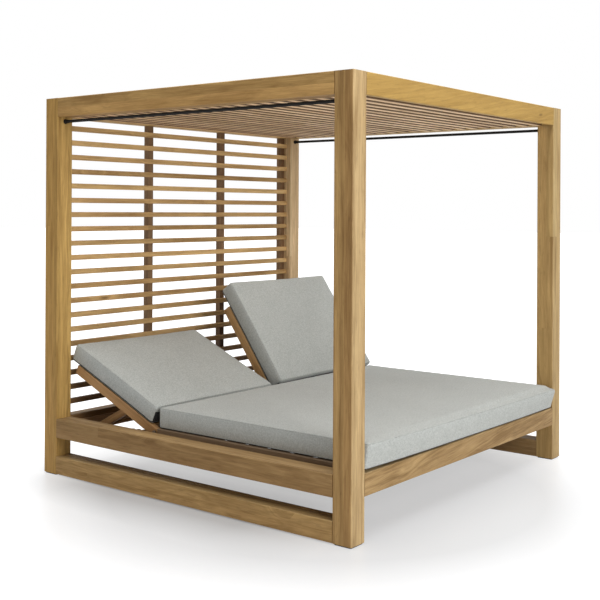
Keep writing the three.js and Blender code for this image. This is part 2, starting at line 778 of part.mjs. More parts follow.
function addBackrest({ name, side, angle, cushionRide }) {
  const backrest = new THREE.Group();
  backrest.position.set(side * backrestX, hingeY, hingeZ);
  backrest.rotation.x = angle;
  frame.add(backrest);

  for (const [place, edge] of [["outer", side], ["inner", -side]]) {
    add(backrest, "backrest_rail_" + name + "_" + place, sideRail(-edge), bedTimber, edge * railX);
    const bolt = propBolt(edge);
    add(backrest, "prop_bolt_" + name + "_" + place, bolt, boltSteel, edge * railX, propReach, -propOffset);
  }
  const inside = 2 * (frameHalf - backrestRailThickness - fitGap);
  const across = bar("x", inside, backrestRailThickness, backrestRailDepth - railEase, railEase);
  const level = -railEase / 2;
  const headY = headRailStart + backrestRailThickness / 2;
  const footY = footRailStart + backrestRailThickness / 2;
  add(backrest, "backrest_head_rail_" + name, across, bedTimber, 0, headY, level);
  add(backrest, "backrest_foot_rail_" + name, across, bedTimber, 0, footY, level);
  add(backrest, "backrest_slats_" + name, backrestSlats(), bedTimber);

  const leg = new THREE.Group();
  leg.position.set(0, propReach, -propOffset);
  leg.rotation.x = -(angle + apexAngle(angle) + rackSlope);
  backrest.add(leg);
  add(leg, "prop_" + name, prop(), bedTimber);

  const width = 2 * (clearX - cushionSideGap - cushionSideSwell - backrestX);
  const pad = cushion({
    width: Math.min(width, 2 * (backrestX - cushionCentreGap / 2)),
    length: cushionLength - 2 * cushionSideSwell,
    thickness: cushionThickness,
    crown: cushionCrown,
    draws: [cushionDraw, cushionDraw, cushionDraw, cushionDraw],
  });
  const start = mattressRear + cushionStart - hingeY + cushionRide * angle;
  const padLevel = backrestRailDepth / 2 + fitGap;
  add(backrest, "backrest_cushion_" + name, pad, fabric, 0, start + cushionLength / 2, padLevel);
}

function addHingeBolts() {
  add(frame, "hinge_bolt_centre", centreHingeBolt(), boltSteel, 0, hingeY, hingeZ);
  for (const { name, side } of backrests)
    add(frame, "hinge_plate_" + name, outerHinge(side), boltSteel, side * clearX, hingeY, hingeZ);
}

addPosts();
addMembers();
addWall();
addRoof();
addRods();
addDeck();
addRacks();
addMattress();
addHingeBolts();
backrests.forEach(addBackrest);

export default daybed;
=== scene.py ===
"""An outdoor daybed with a timber frame, a slatted roof and back wall, and two reclining backrests."""

import math

import bmesh
import bpy
import numpy as np
from mathutils import Matrix, Vector
from mathutils.bvhtree import BVHTree


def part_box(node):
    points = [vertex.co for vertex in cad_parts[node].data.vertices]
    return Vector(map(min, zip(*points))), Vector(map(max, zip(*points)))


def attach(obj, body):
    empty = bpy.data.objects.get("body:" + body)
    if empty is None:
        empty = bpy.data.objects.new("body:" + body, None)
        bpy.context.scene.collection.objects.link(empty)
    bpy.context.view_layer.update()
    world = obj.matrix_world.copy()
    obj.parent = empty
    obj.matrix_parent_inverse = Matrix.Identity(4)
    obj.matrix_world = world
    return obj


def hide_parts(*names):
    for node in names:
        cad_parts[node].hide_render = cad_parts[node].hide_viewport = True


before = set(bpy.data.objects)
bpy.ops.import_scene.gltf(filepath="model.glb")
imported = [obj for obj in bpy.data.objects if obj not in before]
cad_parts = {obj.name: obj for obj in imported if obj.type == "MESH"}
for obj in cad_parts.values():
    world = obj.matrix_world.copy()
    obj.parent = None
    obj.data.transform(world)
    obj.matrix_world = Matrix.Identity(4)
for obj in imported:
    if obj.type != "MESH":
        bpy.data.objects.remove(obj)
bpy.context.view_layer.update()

# Posts: four upright timbers of solid teak, glued up from a few wide staves whose grain flows on.
# They are planed, eased at the edges and oiled, so each stave keeps its own tone from straw to brown.


def add_node(tree, kind, inputs=None, **settings):
    """Adds a shader node. Each input is a plain value, or the socket that feeds it."""
    node = tree.nodes.new(kind)
    for key, value in settings.items():
        setattr(node, key, value)
    for key, value in (inputs or {}).items():
        socket = node.inputs[key]
        if isinstance(value, bpy.types.NodeSocket):
            tree.links.new(value, socket)
        else:
            socket.default_value = value
    return node


def math_node(tree, operation, first, second=0.0, clamp=False):
    node = add_node(tree, "ShaderNodeMath", {0: first, 1: second}, operation=operation, use_clamp=clamp)
    return node.outputs[0]


def map_range(tree, value, low, high, to_low=0.0, to_high=1.0):
    """Stretches the range from low to high to another one, and holds both ends."""
    inputs = {"Value": value, "From Min": low, "From Max": high, "To Min": to_low, "To Max": to_high}
    return add_node(tree, "ShaderNodeMapRange", inputs).outputs["Result"]


def mix_colour(tree, factor, first, second, blend="MIX"):
    # A mix node keeps its two colours in inputs 6 and 7, and their mix in output 2.
    inputs = {"Factor": factor, 6: first, 7: second}
    return add_node(tree, "ShaderNodeMix", inputs, data_type="RGBA", blend_type=blend).outputs[2]


def tinted(tree, colour, shares, amount=1.0):
    """Multiplies a colour's red, green and blue by a number each, in full or by the amount given."""
    return mix_colour(tree, amount, colour, (*shares, 1), "MULTIPLY")


def vector_node(tree, operation, first, second=(0, 0, 0), output="Vector"):
    node = add_node(tree, "ShaderNodeVectorMath", {0: first, 1: second}, operation=operation)
    return node.outputs[output]


def dot(tree, first, second):
    return vector_node(tree, "DOT_PRODUCT", first, second, "Value")


def noise_node(tree, vector, scale, detail=2.0, rough=0.5, distortion=0.0):
    inputs = {
        "Vector": vector,
        "Scale": scale,
        "Detail": detail,
        "Roughness": rough,
        "Distortion": distortion,
    }
    return add_node(tree, "ShaderNodeTexNoise", inputs).outputs["Fac"]


def new_group(name, inputs, outputs):
    """Starts a node group, and gives its tree, its input sockets and its output sockets."""
    tree = bpy.data.node_groups.new(name, "ShaderNodeTree")
    for label, kind, default in inputs:
        socket = tree.interface.new_socket(label, in_out="INPUT", socket_type="NodeSocket" + kind)
        socket.default_value = default
    for label, kind in outputs:
        tree.interface.new_socket(label, in_out="OUTPUT", socket_type="NodeSocket" + kind)
    return tree, tree.nodes.new("NodeGroupInput").outputs, tree.nodes.new("NodeGroupOutput").inputs


surface_outputs = [("Color", "Color"), ("Roughness", "Float"), ("Height", "Float")]


def make_timber_grain():
    """Solid timber: staves, growth rings, strands, fibres, pores, dark streaks, knots, end grain and a
    painted highlight on one side.
    """
    tree, given, result = new_group(
        "timber_grain",
        [
            ("Grain", "Vector", (0, 0, 1)),
            ("Across", "Vector", (1, 0, 0)),
            ("Strip Across", "Float", 0.05),
            ("Strip Deep", "Float", 0.05),
            ("Shift Across", "Float", 0.0),
            ("Shift Deep", "Float", 0.0),
            ("Board Length", "Float", 2.4),
            ("Seed", "Float", 0.0),
            ("Base", "Color", (0.55, 0.35, 0.14, 1)),
            ("Tone Spread", "Float", 0.2),
            ("Knots", "Float", 0.1),
            ("Figure", "Float", 1.0),
            ("Bleached Side", "Vector", (0, 0, 0)),
            ("Upper Tone", "Float", 0.0),
        ],
        surface_outputs,
    )
    place = add_node(tree, "ShaderNodeTexCoord").outputs

    def along(direction, vector=place["Object"]):
        return dot(tree, vector, direction)

    def calc(operation, first, second=0.0, clamp=False):
        return math_node(tree, operation, first, second, clamp)

    def combine(first, second, third):
        return add_node(tree, "ShaderNodeCombineXYZ", {0: first, 1: second, 2: third}).outputs[0]

    def weighed(parts, zero=0.0):
        """Adds up the patterns, each with its own share of what it is above the zero level."""
        total = 0.0
        for part, share in parts:
            total = calc("ADD", total, calc("MULTIPLY", calc("SUBTRACT", part, zero), share))
        return total

    # The wood is measured along its grain, across it and deep into it. Each seed starts further along.
    seed_step = 0.37
    deep = vector_node(tree, "CROSS_PRODUCT", given["Grain"], given["Across"])
    x = calc("ADD", along(given["Grain"]), calc("MULTIPLY", given["Seed"], seed_step))
    y = calc("ADD", along(given["Across"]), given["Shift Across"])
    z = calc("ADD", along(deep), given["Shift Deep"])

    # Each stave is a piece of its own, and so is each length of it between two end joints.
    key_step, furthest_start = 17.3, 3.0
    strip_y = calc("FLOOR", calc("DIVIDE", y, given["Strip Across"]))
    strip_z = calc("FLOOR", calc("DIVIDE", z, given["Strip Deep"]))
    strip = add_node(tree, "ShaderNodeTexWhiteNoise", {"Vector": combine(strip_y, strip_z, given["Seed"])})
    joint_at = calc("MULTIPLY", strip.outputs["Value"], given["Board Length"])
    length_no = calc("FLOOR", calc("DIVIDE", calc("ADD", x, joint_at), given["Board Length"]))
    length_key = calc("ADD", strip_y, calc("MULTIPLY", length_no, key_step))
    piece_key = combine(length_key, strip_z, given["Seed"])
    piece = add_node(tree, "ShaderNodeTexWhiteNoise", {"Vector": piece_key})
    piece_parts = add_node(tree, "ShaderNodeSeparateColor", {0: piece.outputs["Color"]}).outputs
    shift = calc("MULTIPLY", piece_parts[1], furthest_start)

    def marks(along_grain, across_grain, ahead=0.0):
        """The place counted in marks, with so many to a metre along the grain and across it."""
        start = calc("ADD", calc("ADD", x, ahead), shift)
        return combine(
            calc("MULTIPLY", start, along_grain),
            calc("MULTIPLY", y, across_grain),
            calc("MULTIPLY", z, across_grain),
        )

    def drawn_out(along_grain, across_grain, ahead=0.0, **noise):
        """Noise drawn out along the grain."""
        return noise_node(tree, marks(along_grain, across_grain, ahead), 1.0, **noise)

    # Knots bend the grain round them.
    knot_reach, core_edge, core_full, knot_bend = 0.45, 0.11, 0.05, 0.05
    inputs = {"Vector": marks(3.1, 11.0, ahead=0.4), "Scale": 1.0, "Randomness": 1.0}
    cells = add_node(tree, "ShaderNodeTexVoronoi", inputs, feature="F1")
    chosen = add_node(tree, "ShaderNodeSeparateColor", {0: cells.outputs["Color"]}).outputs[0]
    chosen = calc("LESS_THAN", chosen, given["Knots"])
    near = calc("MULTIPLY", map_range(tree, cells.outputs["Distance"], knot_reach, 0.0), chosen)
    near = calc("MULTIPLY", near, near)
    core = calc("MULTIPLY", map_range(tree, cells.outputs["Distance"], core_edge, core_full), chosen)

    # Growth rings round a heart that lies somewhere beside each piece, wandering along the length.
    heart_spread, wander_reach = 0.18, 0.075
    wander = calc("SUBTRACT", drawn_out(1.6, 10.0), 0.5)
    wander = calc("ADD", calc("MULTIPLY", wander, wander_reach), calc("MULTIPLY", near, knot_bend))
    heart_y = calc("MULTIPLY", calc("SUBTRACT", piece_parts[0], 0.5), heart_spread)
    heart_z = calc("MULTIPLY", calc("SUBTRACT", piece_parts[2], 0.5), heart_spread)
    from_heart = combine(0.0, calc("ADD", y, heart_y), calc("ADD", z, heart_z))
    radius = vector_node(tree, "LENGTH", from_heart, output="Value")
    ring_at = calc("ADD", calc("ADD", radius, wander), piece_parts[1])

    def ring_noise(per_metre, detail):
        inputs = {"W": ring_at, "Scale": per_metre, "Detail": detail}
        return add_node(tree, "ShaderNodeTexNoise", inputs, noise_dimensions="1D").outputs["Fac"]

    rings = map_range(tree, ring_noise(190.0, 2.0), 0.3, 0.7)
    broad = map_range(tree, ring_noise(42.0, 1.0), 0.32, 0.68)
    strands = map_range(tree, drawn_out(2.4, 48.0, ahead=1.9, rough=0.55, distortion=0.5), 0.3, 0.7)
    fibres = drawn_out(9.0, 330.0, detail=3.0, rough=0.6)
    pores = map_range(tree, drawn_out(26.0, 900.0, ahead=3.1, detail=1.0), 0.62, 0.72)
    cloud = drawn_out(2.2, 13.0, ahead=5.7, detail=3.0, rough=0.6, distortion=0.6)
    cloud = map_range(tree, cloud, 0.3, 0.7)
    flecks = map_range(tree, drawn_out(16.0, 70.0, ahead=7.7, rough=0.6), 0.6, 0.78)
    streaks = drawn_out(1.3, 44.0, ahead=2.3, detail=3.0, rough=0.65, distortion=0.8)
    streaks = map_range(tree, streaks, 0.6, 0.76)

    # The figure swings between a dark and a light tone of the wood, and pieces differ from each other.
    shares = ((rings, 0.16), (broad, 0.26), (strands, 0.2), (fibres, 0.62), (cloud, 0.3))
    figure = calc("MULTIPLY", weighed(shares, zero=0.5), given["Figure"])
    tone = calc("MULTIPLY", calc("SUBTRACT", piece.outputs["Value"], 0.5), given["Tone Spread"])
    tone = calc("ADD", tone, calc("MULTIPLY", calc("GREATER_THAN", y, 0.0), given["Upper Tone"]))
    figure = calc("ADD", calc("ADD", figure, tone), 0.5, clamp=True)
    light = tinted(tree, given["Base"], (1.36, 1.4, 1.45))
    dark = tinted(tree, given["Base"], (0.62, 0.56, 0.48))
    darkest = tinted(tree, given["Base"], (0.3, 0.25, 0.22))
    # Some pieces run to red, others to yellow.
    reddening = map_range(tree, piece_parts[2], 0.0, 1.0, 0.0, 0.5)
    colour = tinted(tree, mix_colour(tree, figure, dark, light), (1.0, 0.9, 0.86), reddening)

    # Thin glue lines between the staves, and darker end grain.
    glue_line, end_joint = 0.0004, 0.0006

    def seam(value, size, width):
        return map_range(tree, calc("PINGPONG", value, calc("MULTIPLY", size, 0.5)), width, 0.0)

    glue = calc("MAXIMUM", seam(y, given["Strip Across"], glue_line), seam(z, given["Strip Deep"], glue_line))
    glue = calc("MAXIMUM", glue, seam(calc("ADD", x, joint_at), given["Board Length"], end_joint))
    facing = calc("ABSOLUTE", along(given["Grain"], place["Normal"]))
    end_grain = map_range(tree, facing, 0.85, 0.95)
    for mark, share, towards in (
        (streaks, 0.36, darkest),
        (flecks, 0.3, darkest),
        (pores, 0.25, darkest),
        (near, 0.35, dark),
        (core, 0.7, darkest),
        (glue, 0.3, darkest),
        (end_grain, 0.55, dark),
    ):
        colour = mix_colour(tree, calc("MULTIPLY", mark, share), colour, towards)

    # Painted highlight: the side given is painted paler and greyer, standing for the light that falls on it.
    painted_highlight = calc("ADD", along(given["Bleached Side"], place["Normal"]), 0.0, clamp=True)
    colour = mix_colour(tree, painted_highlight, colour, tinted(tree, colour, (1.3, 1.56, 2.15)))

    height = weighed(((fibres, 0.6), (rings, 0.2), (pores, -0.5), (glue, -0.4)))
    tree.links.new(colour, result["Color"])
    tree.links.new(map_range(tree, figure, 0.0, 1.0, 0.7, 0.52), result["Roughness"])
    tree.links.new(height, result["Height"])
    return tree


timber_grain = make_timber_grain()
axis_x, axis_y, axis_z = (1, 0, 0), (0, 1, 0), (0, 0, 1)


def place_group(tree, group, **values):
    """Places a node group with its own values, each named with _ where its input has a space."""
    node = add_node(tree, "ShaderNodeGroup", node_tree=group)
    for key, value in values.items():
        socket = node.inputs[key.replace("_", " ")]
        socket.default_value = (*value, 1) if socket.type == "RGBA" else value
    return node.outputs


def finish_surface(tree, outputs, specular, bump_strength, bump_depth):
    """Feeds a colour, a roughness and a height to the material's own shader."""
    shader = tree.nodes["Principled BSDF"]
    tree.links.new(outputs["Color"], shader.inputs["Base Color"])
    tree.links.new(outputs["Roughness"], shader.inputs["Roughness"])
    inputs = {"Height": outputs["Height"], "Strength": bump_strength, "Distance": bump_depth}
    bump = add_node(tree, "ShaderNodeBump", inputs)
    tree.links.new(bump.outputs["Normal"], shader.inputs["Normal"])
    shader.inputs["Specular IOR Level"].default_value = specular
    return shader


def finish_timber(tree, outputs):
    finish_surface(tree, outputs, specular=0.3, bump_strength=0.45, bump_depth=0.0009)


def new_material(name):
    material = bpy.data.materials.new(name)
    material.use_nodes = True
    return material, material.node_tree


def timber(name, **values):
    material, tree = new_material(name)
    finish_timber(tree, place_group(tree, timber_grain, **values))
    return material


def dress(node, material):
    """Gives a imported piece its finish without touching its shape."""
    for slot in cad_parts[node].material_slots:
        slot.material = material


# A board this large holds any member whole, and the shift keeps its edges clear of the member.
one_board, amid_board = 9.0, 4.0
post_stave, jointed_length, stave_shift = 0.0505, 2.4, 0.011
# Each post has its tone, the length of its boards, how much painted highlight its front takes, and how its
# staves differ.
post_looks = {
    "front_left": ((0.372, 0.225, 0.08), one_board, 1.0, 0.12),
    "front_right": ((0.39, 0.257, 0.098), jointed_length, 0.35, 0.2),
    "back_left": ((0.467, 0.282, 0.079), one_board, 0.2, 0.2),
    "back_right": ((0.62, 0.46, 0.26), jointed_length, 0.0, 0.2),
}
for number, (corner, (tone, length, highlight_share, spread)) in enumerate(post_looks.items()):
    post = timber(
        "post_timber_" + corner,
        Grain=axis_z,
        Across=axis_x,
        Strip_Across=post_stave,
        Strip_Deep=post_stave,
        Shift_Across=stave_shift * number,
        Seed=3.0 + number,
        Board_Length=length,
        Base=tone,
        Tone_Spread=spread,
        Knots=0.05,
        Figure=1.4,
        Bleached_Side=(0, -highlight_share, 0),
    )
    dress("post_" + corner, post)

# Rails and beams: the level timbers between the posts, tenoned into them and oiled like them.
# Two low rails run along the sides, bed rails at seat height, and beams and a fascia round the roof.

member_tones = {
    "low_rail_left": (0.36, 0.222, 0.079),
    "low_rail_right": (0.31, 0.195, 0.082),
    "bed_rail_left": (0.31, 0.193, 0.073),
    "bed_rail_right": (0.36, 0.225, 0.09),
    "roof_beam_left": (0.47, 0.29, 0.1),
    "roof_beam_right": (0.5, 0.32, 0.12),
    "bed_rail_front": (0.345, 0.23, 0.096),
    "bed_rail_back": (0.3, 0.18, 0.075),
    "roof_fascia_front": (0.44, 0.28, 0.076),
    "roof_beam_back": (0.5, 0.32, 0.12),
}
# Some have more knots, a stronger or weaker figure, slanting grain (in radians) or a darker upper stave.
knotty = {"bed_rail_front": 0.55, "bed_rail_left": 0.4, "roof_beam_left": 0.18}
figures = {"bed_rail_front": 1.7, "roof_fascia_front": 0.8, "bed_rail_left": 1.3, "low_rail_left": 1.9}
slanted = {"bed_rail_front": 0.1, "roof_fascia_front": 0.16}
upper_staves = {"bed_rail_left": -0.2, "roof_beam_left": -0.17}
# A seed chooses the stretch of wood that a member is cut from, and unglued ones are a single board.
seeds = {"bed_rail_left": 29.0}
unglued = ("roof_fascia_front", "bed_rail_front")
member_stave = 0.052
for number, (name, tone) in enumerate(member_tones.items()):
    along_sides = name.endswith(("left", "right"))
    low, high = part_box(name)
    slant = slanted.get(name, 0.0)
    member = timber(
        name + "_timber",
        Grain=axis_y if along_sides else (math.cos(slant), 0, math.sin(slant)),
        Across=axis_z if along_sides else (-math.sin(slant), 0, math.cos(slant)),
        Strip_Across=one_board if name in unglued else member_stave,
        Strip_Deep=one_board,
        Shift_Across=amid_board if name in unglued else -(low[2] + high[2]) / 2,
        Shift_Deep=amid_board,
        Board_Length=one_board,
        Seed=seeds.get(name, 11.0 + number),
        Base=tone,
        Knots=knotty.get(name, 0.07),
        Figure=figures.get(name, 1.5),
        Upper_Tone=upper_staves.get(name, 0.0),
        # The tops of these members take a painted highlight from above.
        Bleached_Side=(0, 0, 0.4),
    )
    dress(name, member)

# Back wall: level slats let into upright battens and screwed to them from behind, all of oiled teak.
# Every slat is one length of wood, so each has its own tone.

# The screw heads of the wall and the roof gather in this mesh, which is finished with the other steel.
screws = bmesh.new()


def make_grille_masks():
    """Masks for a joined grille: its battens, the sides of its slats, which take painted shade, and its lower
    part, which is painted darker as shade.
    """
    tree, given, result = new_group(
        "grille_masks",
        [
            ("To Battens", "Vector", (0, 1, 0)),
            ("Batten Plane", "Float", 0.0),
            ("Slats Across", "Vector", (0, 0, 1)),
            ("Sawn Sides", "Vector", (0, 0, 0)),
            ("Stain", "Float", 0.0),
        ],
        [("Battens", "Float"), ("Sawn", "Float"), ("Low Shade", "Float")],
    )
    place = add_node(tree, "ShaderNodeTexCoord").outputs
    # The slats are let into the battens, so this near the plane a face is told by the way it points.
    near_plane = 0.005
    level = dot(tree, place["Object"], given["To Battens"])
    facing = dot(tree, place["Normal"], given["To Battens"])
    edgewise = math_node(tree, "ABSOLUTE", dot(tree, place["Normal"], given["Slats Across"]))
    nearer = math_node(tree, "MULTIPLY", math_node(tree, "ADD", facing, edgewise), near_plane)
    level = math_node(tree, "SUBTRACT", level, nearer)
    # Painted shade: the grille grows darker towards the bottom, where the bed shades it.
    shade_none_at, shade_full_at = 0.85, 0.42
    height = dot(tree, place["Object"], axis_z)
    low_shade = map_range(tree, height, shade_none_at, shade_full_at, 0.0, given["Stain"])
    # Painted shade on the slats' sides: how far each face turns towards the given sides.
    side_shadow = math_node(tree, "ABSOLUTE", dot(tree, place["Normal"], given["Sawn Sides"]))
    tree.links.new(math_node(tree, "GREATER_THAN", level, given["Batten Plane"]), result["Battens"])
    tree.links.new(side_shadow, result["Sawn"])
    tree.links.new(low_shade, result["Low Shade"])
    return tree


grille_masks = make_grille_masks()


def slatted(name, slats, battens, **where):
    """One finish for a joined grille, with the slats' wood up to a plane and the battens' wood beyond it."""
    # The slats' sides take a near-black painted shade, standing for the shade in the gaps between them.
    side_shadow_tone, shade_shares = (0.06, 0.026, 0.011, 1), (0.25, 0.2, 0.19)
    material, tree = new_material(name)
    whole = {"Board_Length": one_board, "Strip_Deep": one_board, "Shift_Deep": amid_board, "Figure": 1.3}
    slat_wood = place_group(tree, timber_grain, **whole, **slats)
    batten_wood = place_group(tree, timber_grain, **whole, **battens)
    masks = place_group(tree, grille_masks, Slats_Across=slats["Across"], **where)

    def mixed(label):
        # A mix node of plain values keeps them in inputs 2 and 3, and their mix in output 0.
        inputs = {"Factor": masks["Battens"], 2: slat_wood[label], 3: batten_wood[label]}
        return add_node(tree, "ShaderNodeMix", inputs, data_type="FLOAT").outputs[0]

    slat_colour = mix_colour(tree, masks["Sawn"], slat_wood["Color"], side_shadow_tone)
    colour = mix_colour(tree, masks["Battens"], slat_colour, batten_wood["Color"])
    # Painted shade darkens the grille towards the bottom.
    colour = mix_colour(tree, masks["Low Shade"], colour, tinted(tree, colour, shade_shares))
    finish_timber(tree, {"Color": colour, "Roughness": mixed("Roughness"), "Height": mixed("Height")})
    return material


def ring(mesh_data, centre, side, other, radius, sides):
    """A ring of points round centre, in the plane of the two directions."""
    angles = [2 * math.pi * step / sides for step in range(sides)]
    return [
        mesh_data.verts.new(centre + (side * math.cos(angle) * radius + other * math.sin(angle) * radius))
        for angle in angles
    ]


def bridge(mesh_data, low, high):
    """Joins two rings with a band of faces. Either ring may be a single point, which makes a fan."""
    sides = max(len(low), len(high))
    for step in range(sides):
        following = (step + 1) % sides
        if len(low) == 1:
            corners = (low[0], high[following], high[step])
        elif len(high) == 1:
            corners = (low[step], low[following], high[0])
        else:
            corners = (low[step], low[following], high[following], high[step])
        mesh_data.faces.new(corners)


def turn(mesh_data, profile, centre, axis, sides=40):
    """A turned piece: profile pairs are (radius, place along the axis) and start and end on the axis."""
    axis = Vector(axis).normalized()
    side = axis.orthogonal().normalized()
    other = axis.cross(side)
    rows = []
    for radius, place in profile:
        middle = Vector(centre) + axis * place
        if radius == 0:
            rows.append([mesh_data.verts.new(middle)])
        else:
            rows.append(ring(mesh_data, middle, side, other, radius, sides))
    for low, high in zip(rows, rows[1:]):
        bridge(mesh_data, low, high)


def flat_screw(mesh_data, centre, axis, radius=0.004):
    """A countersunk screw head, a hair proud of the wood, with a round driver recess."""
    rim, crown, recess_floor = 0.0002, 0.0005, 0.0001
    crown_share, recess_share, recess_taper = 0.93, 0.42, 0.6
    recess = radius * recess_share
    profile = [
        (0, 0),
        (radius, 0),
        (radius, rim),
        (radius * crown_share, crown),
        (recess, crown),
        (recess * recess_taper, recess_floor),
        (0, recess_floor),
    ]
    turn(mesh_data, profile, centre, axis, sides=12)


wall_low, wall_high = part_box("wall_slats")
wall_slat_count = 20
wall_slat_height = 0.028
wall_slat_depth = 0.025
let_in = 0.003
# The slats sit a little higher than even gaps would put them.
wall_slat_rise = 0.01
bed_rail_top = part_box("bed_rail_back")[1][2]
beam_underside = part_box("roof_beam_back")[0][2]
wall_pitch = (beam_underside - bed_rail_top + wall_slat_height) / (wall_slat_count + 1)
first_slat = bed_rail_top + wall_pitch - wall_slat_height / 2 + wall_slat_rise
batten_width, batten_shares = 0.04, (-1, -0.34, 0.34, 1)
batten_reach = wall_high[0] - batten_width / 2
batten_places = [share * batten_reach for share in batten_shares]
# Lengthwise pieces lie further apart than this, so each one falls in a strip of its own.
strip_for_each = 0.3
wall = slatted(
    "wall_timber",
    {
        "Grain": axis_x,
        "Across": axis_z,
        "Strip_Across": wall_pitch,
        "Shift_Across": wall_pitch / 2 - first_slat,
        "Seed": 41.0,
        "Base": (0.53, 0.345, 0.145),
        "Tone_Spread": 0.5,
    },
    {
        "Grain": axis_z,
        "Across": axis_x,
        "Strip_Across": strip_for_each,
        "Seed": 42.0,
        # The battens are painted darker than the slats, as painted shade behind them.
        "Base": (0.2, 0.118, 0.058),
    },
    To_Battens=axis_y,
    Batten_Plane=wall_low[1] + wall_slat_depth - let_in,
    # How strong the painted shade is at the foot of the wall.
    Stain=0.85,
)
dress("wall_slats", wall)
for x in batten_places:
    for number in range(wall_slat_count):
        flat_screw(screws, (x, wall_high[1], first_slat + number * wall_pitch), axis_y)

# Roof: slats that run across, hung under battens that run from the fascia to the back beam.
# They are the same teak as the wall, screwed down through the battens, with open gaps between.

roof_low, roof_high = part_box("roof_slats")
roof_slat_count = 23
roof_slat_width = 0.04
roof_slat_thickness = 0.025
roof_pitch = (roof_high[1] - roof_low[1] + roof_slat_width) / (roof_slat_count + 1)
first_roof_slat = roof_low[1] + roof_pitch - roof_slat_width / 2
roof = slatted(
    "roof_timber",
    {
        "Grain": axis_x,
        "Across": axis_y,
        "Strip_Across": roof_pitch,
        "Shift_Across": roof_pitch / 2 - first_roof_slat,
        "Seed": 51.0,
        # Painted light: the slats are painted paler than the wall's teak, standing for the light the floor
        # throws up on their undersides.
        "Base": (0.74, 0.515, 0.295),
        "Tone_Spread": 0.4,
    },
    {
        "Grain": axis_y,
        "Across": axis_x,
        "Strip_Across": strip_for_each,
        "Seed": 52.0,
        "Base": (0.3, 0.18, 0.08),
    },
    To_Battens=axis_z,
    Batten_Plane=roof_low[2] + roof_slat_thickness - let_in,
    # The slats' sides seen in the gaps are painted dark as shade.
    Sawn_Sides=(0, 0.9, 0),
)
dress("roof_slats", roof)
for x in batten_places:
    for number in range(roof_slat_count):
        flat_screw(screws, (x, first_roof_slat + number * roof_pitch, roof_high[2]), axis_z)

# Curtain rods: a dark lacquered steel tube under each side beam, for side curtains.
# Each end sits in a small turned cup fixed to the inner face of its post.


def make_smooth_coat():
    """Sprayed lacquer or moulded plastic, with fine orange peel and faint handling marks."""
    tree, given, result = new_group(
        "smooth_coat",
        [
            ("Base", "Color", (0.02, 0.02, 0.02, 1)),
            ("Worn", "Color", (0.05, 0.05, 0.05, 1)),
            ("Rough", "Float", 0.6),
        ],
        surface_outputs,
    )
    place = add_node(tree, "ShaderNodeTexCoord").outputs["Object"]
    marks = noise_node(tree, place, 24.0, detail=4.0)
    colour = mix_colour(tree, map_range(tree, marks, 0.4, 0.75), given["Base"], given["Worn"])
    smoother, rougher = 0.08, 0.12
    smoothest = math_node(tree, "SUBTRACT", given["Rough"], smoother)
    roughest = math_node(tree, "ADD", given["Rough"], rougher)
    tree.links.new(colour, result["Color"])
    tree.links.new(map_range(tree, marks, 0.2, 0.8, smoothest, roughest), result["Roughness"])
    tree.links.new(noise_node(tree, place, 420.0), result["Height"])
    return tree


smooth_coat = make_smooth_coat()


def smooth_finish(name, colour, rough):
    """A lacquered or moulded material, a little paler where it is handled."""
    wear_gain, wear_lift = 1.7, 0.01
    worn = [min(1.0, part * wear_gain + wear_lift) for part in colour]
    material, tree = new_material(name)
    outputs = place_group(tree, smooth_coat, Base=colour, Worn=worn, Rough=rough)
    finish_surface(tree, outputs, specular=0.2, bump_strength=0.25, bump_depth=0.0002)
    return material


def to_object(name, mesh_data, material, crisp=None):
    """Makes an object of the shape, smooth all over or with its edges sharper than crisp degrees kept."""
    mesh = bpy.data.meshes.new(name)
    mesh_data.to_mesh(mesh)
    mesh_data.free()
    mesh.materials.append(material)
    for polygon in mesh.polygons:
        polygon.use_smooth = True
    if crisp:
        mesh.set_sharp_from_angle(angle=math.radians(crisp))
    obj = bpy.data.objects.new(name, mesh)
    bpy.context.collection.objects.link(obj)
    return obj


rod_lacquer = smooth_finish("rod_lacquer", (0.006, 0.0055, 0.005), 0.6)
# A cup is a flange with a short sleeve. The radii of sleeve, lip and bore are counted from the rod's.
flange_thickness, flange_rim = 0.005, 0.0036
flange_back_ease, flange_back_rise, flange_front_ease = 0.0006, 0.0008, 0.0012
sleeve_foot, sleeve_foot_top, sleeve_wall = 0.0028, 0.0062, 0.0023
lip_outer, lip_inner, lip_drop = 0.0016, 0.0008, 0.001
bore_clearance, bore_floor, bore_lead = 0.0003, 0.0048, 0.0008
for side in ("left", "right"):
    low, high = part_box("curtain_rod_" + side)
    middle = (Vector(low) + Vector(high)) / 2
    radius = (high[0] - low[0]) / 2
    half = (high[1] - low[1]) / 2
    tube = bmesh.new()
    turn(tube, [(0, -half), (radius, -half), (radius, half), (0, half)], middle, axis_y)
    rod = to_object("rod_" + side, tube, rod_lacquer, crisp=35)
    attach(rod, "frame")
    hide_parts("curtain_rod_" + side)
    for end, way in (("front", 1), ("back", -1)):
        low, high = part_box(f"rod_socket_{end}_{side}")
        flange = (high[0] - low[0]) / 2
        depth = high[1] - low[1]
        seat = middle.copy()
        seat.y = low[1] if way > 0 else high[1]
        profile = [
            (0, 0),
            (flange - flange_back_ease, 0),
            (flange, flange_back_rise),
            (flange, flange_rim),
            (flange - flange_front_ease, flange_thickness),
            (radius + sleeve_foot, flange_thickness),
            (radius + sleeve_wall, sleeve_foot_top),
            (radius + sleeve_wall, depth - lip_drop),
            (radius + lip_outer, depth),
            (radius + lip_inner, depth),
            (radius + bore_clearance, depth - bore_lead),
            (radius + bore_clearance, bore_floor),
            (0, bore_floor),
        ]
        cup = bmesh.new()
        turn(cup, profile, seat, (0, way, 0))
        holder = to_object(f"rod_cup_{end}_{side}", cup, rod_lacquer, crisp=35)
        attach(holder, "frame")
        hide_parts(f"rod_socket_{end}_{side}")
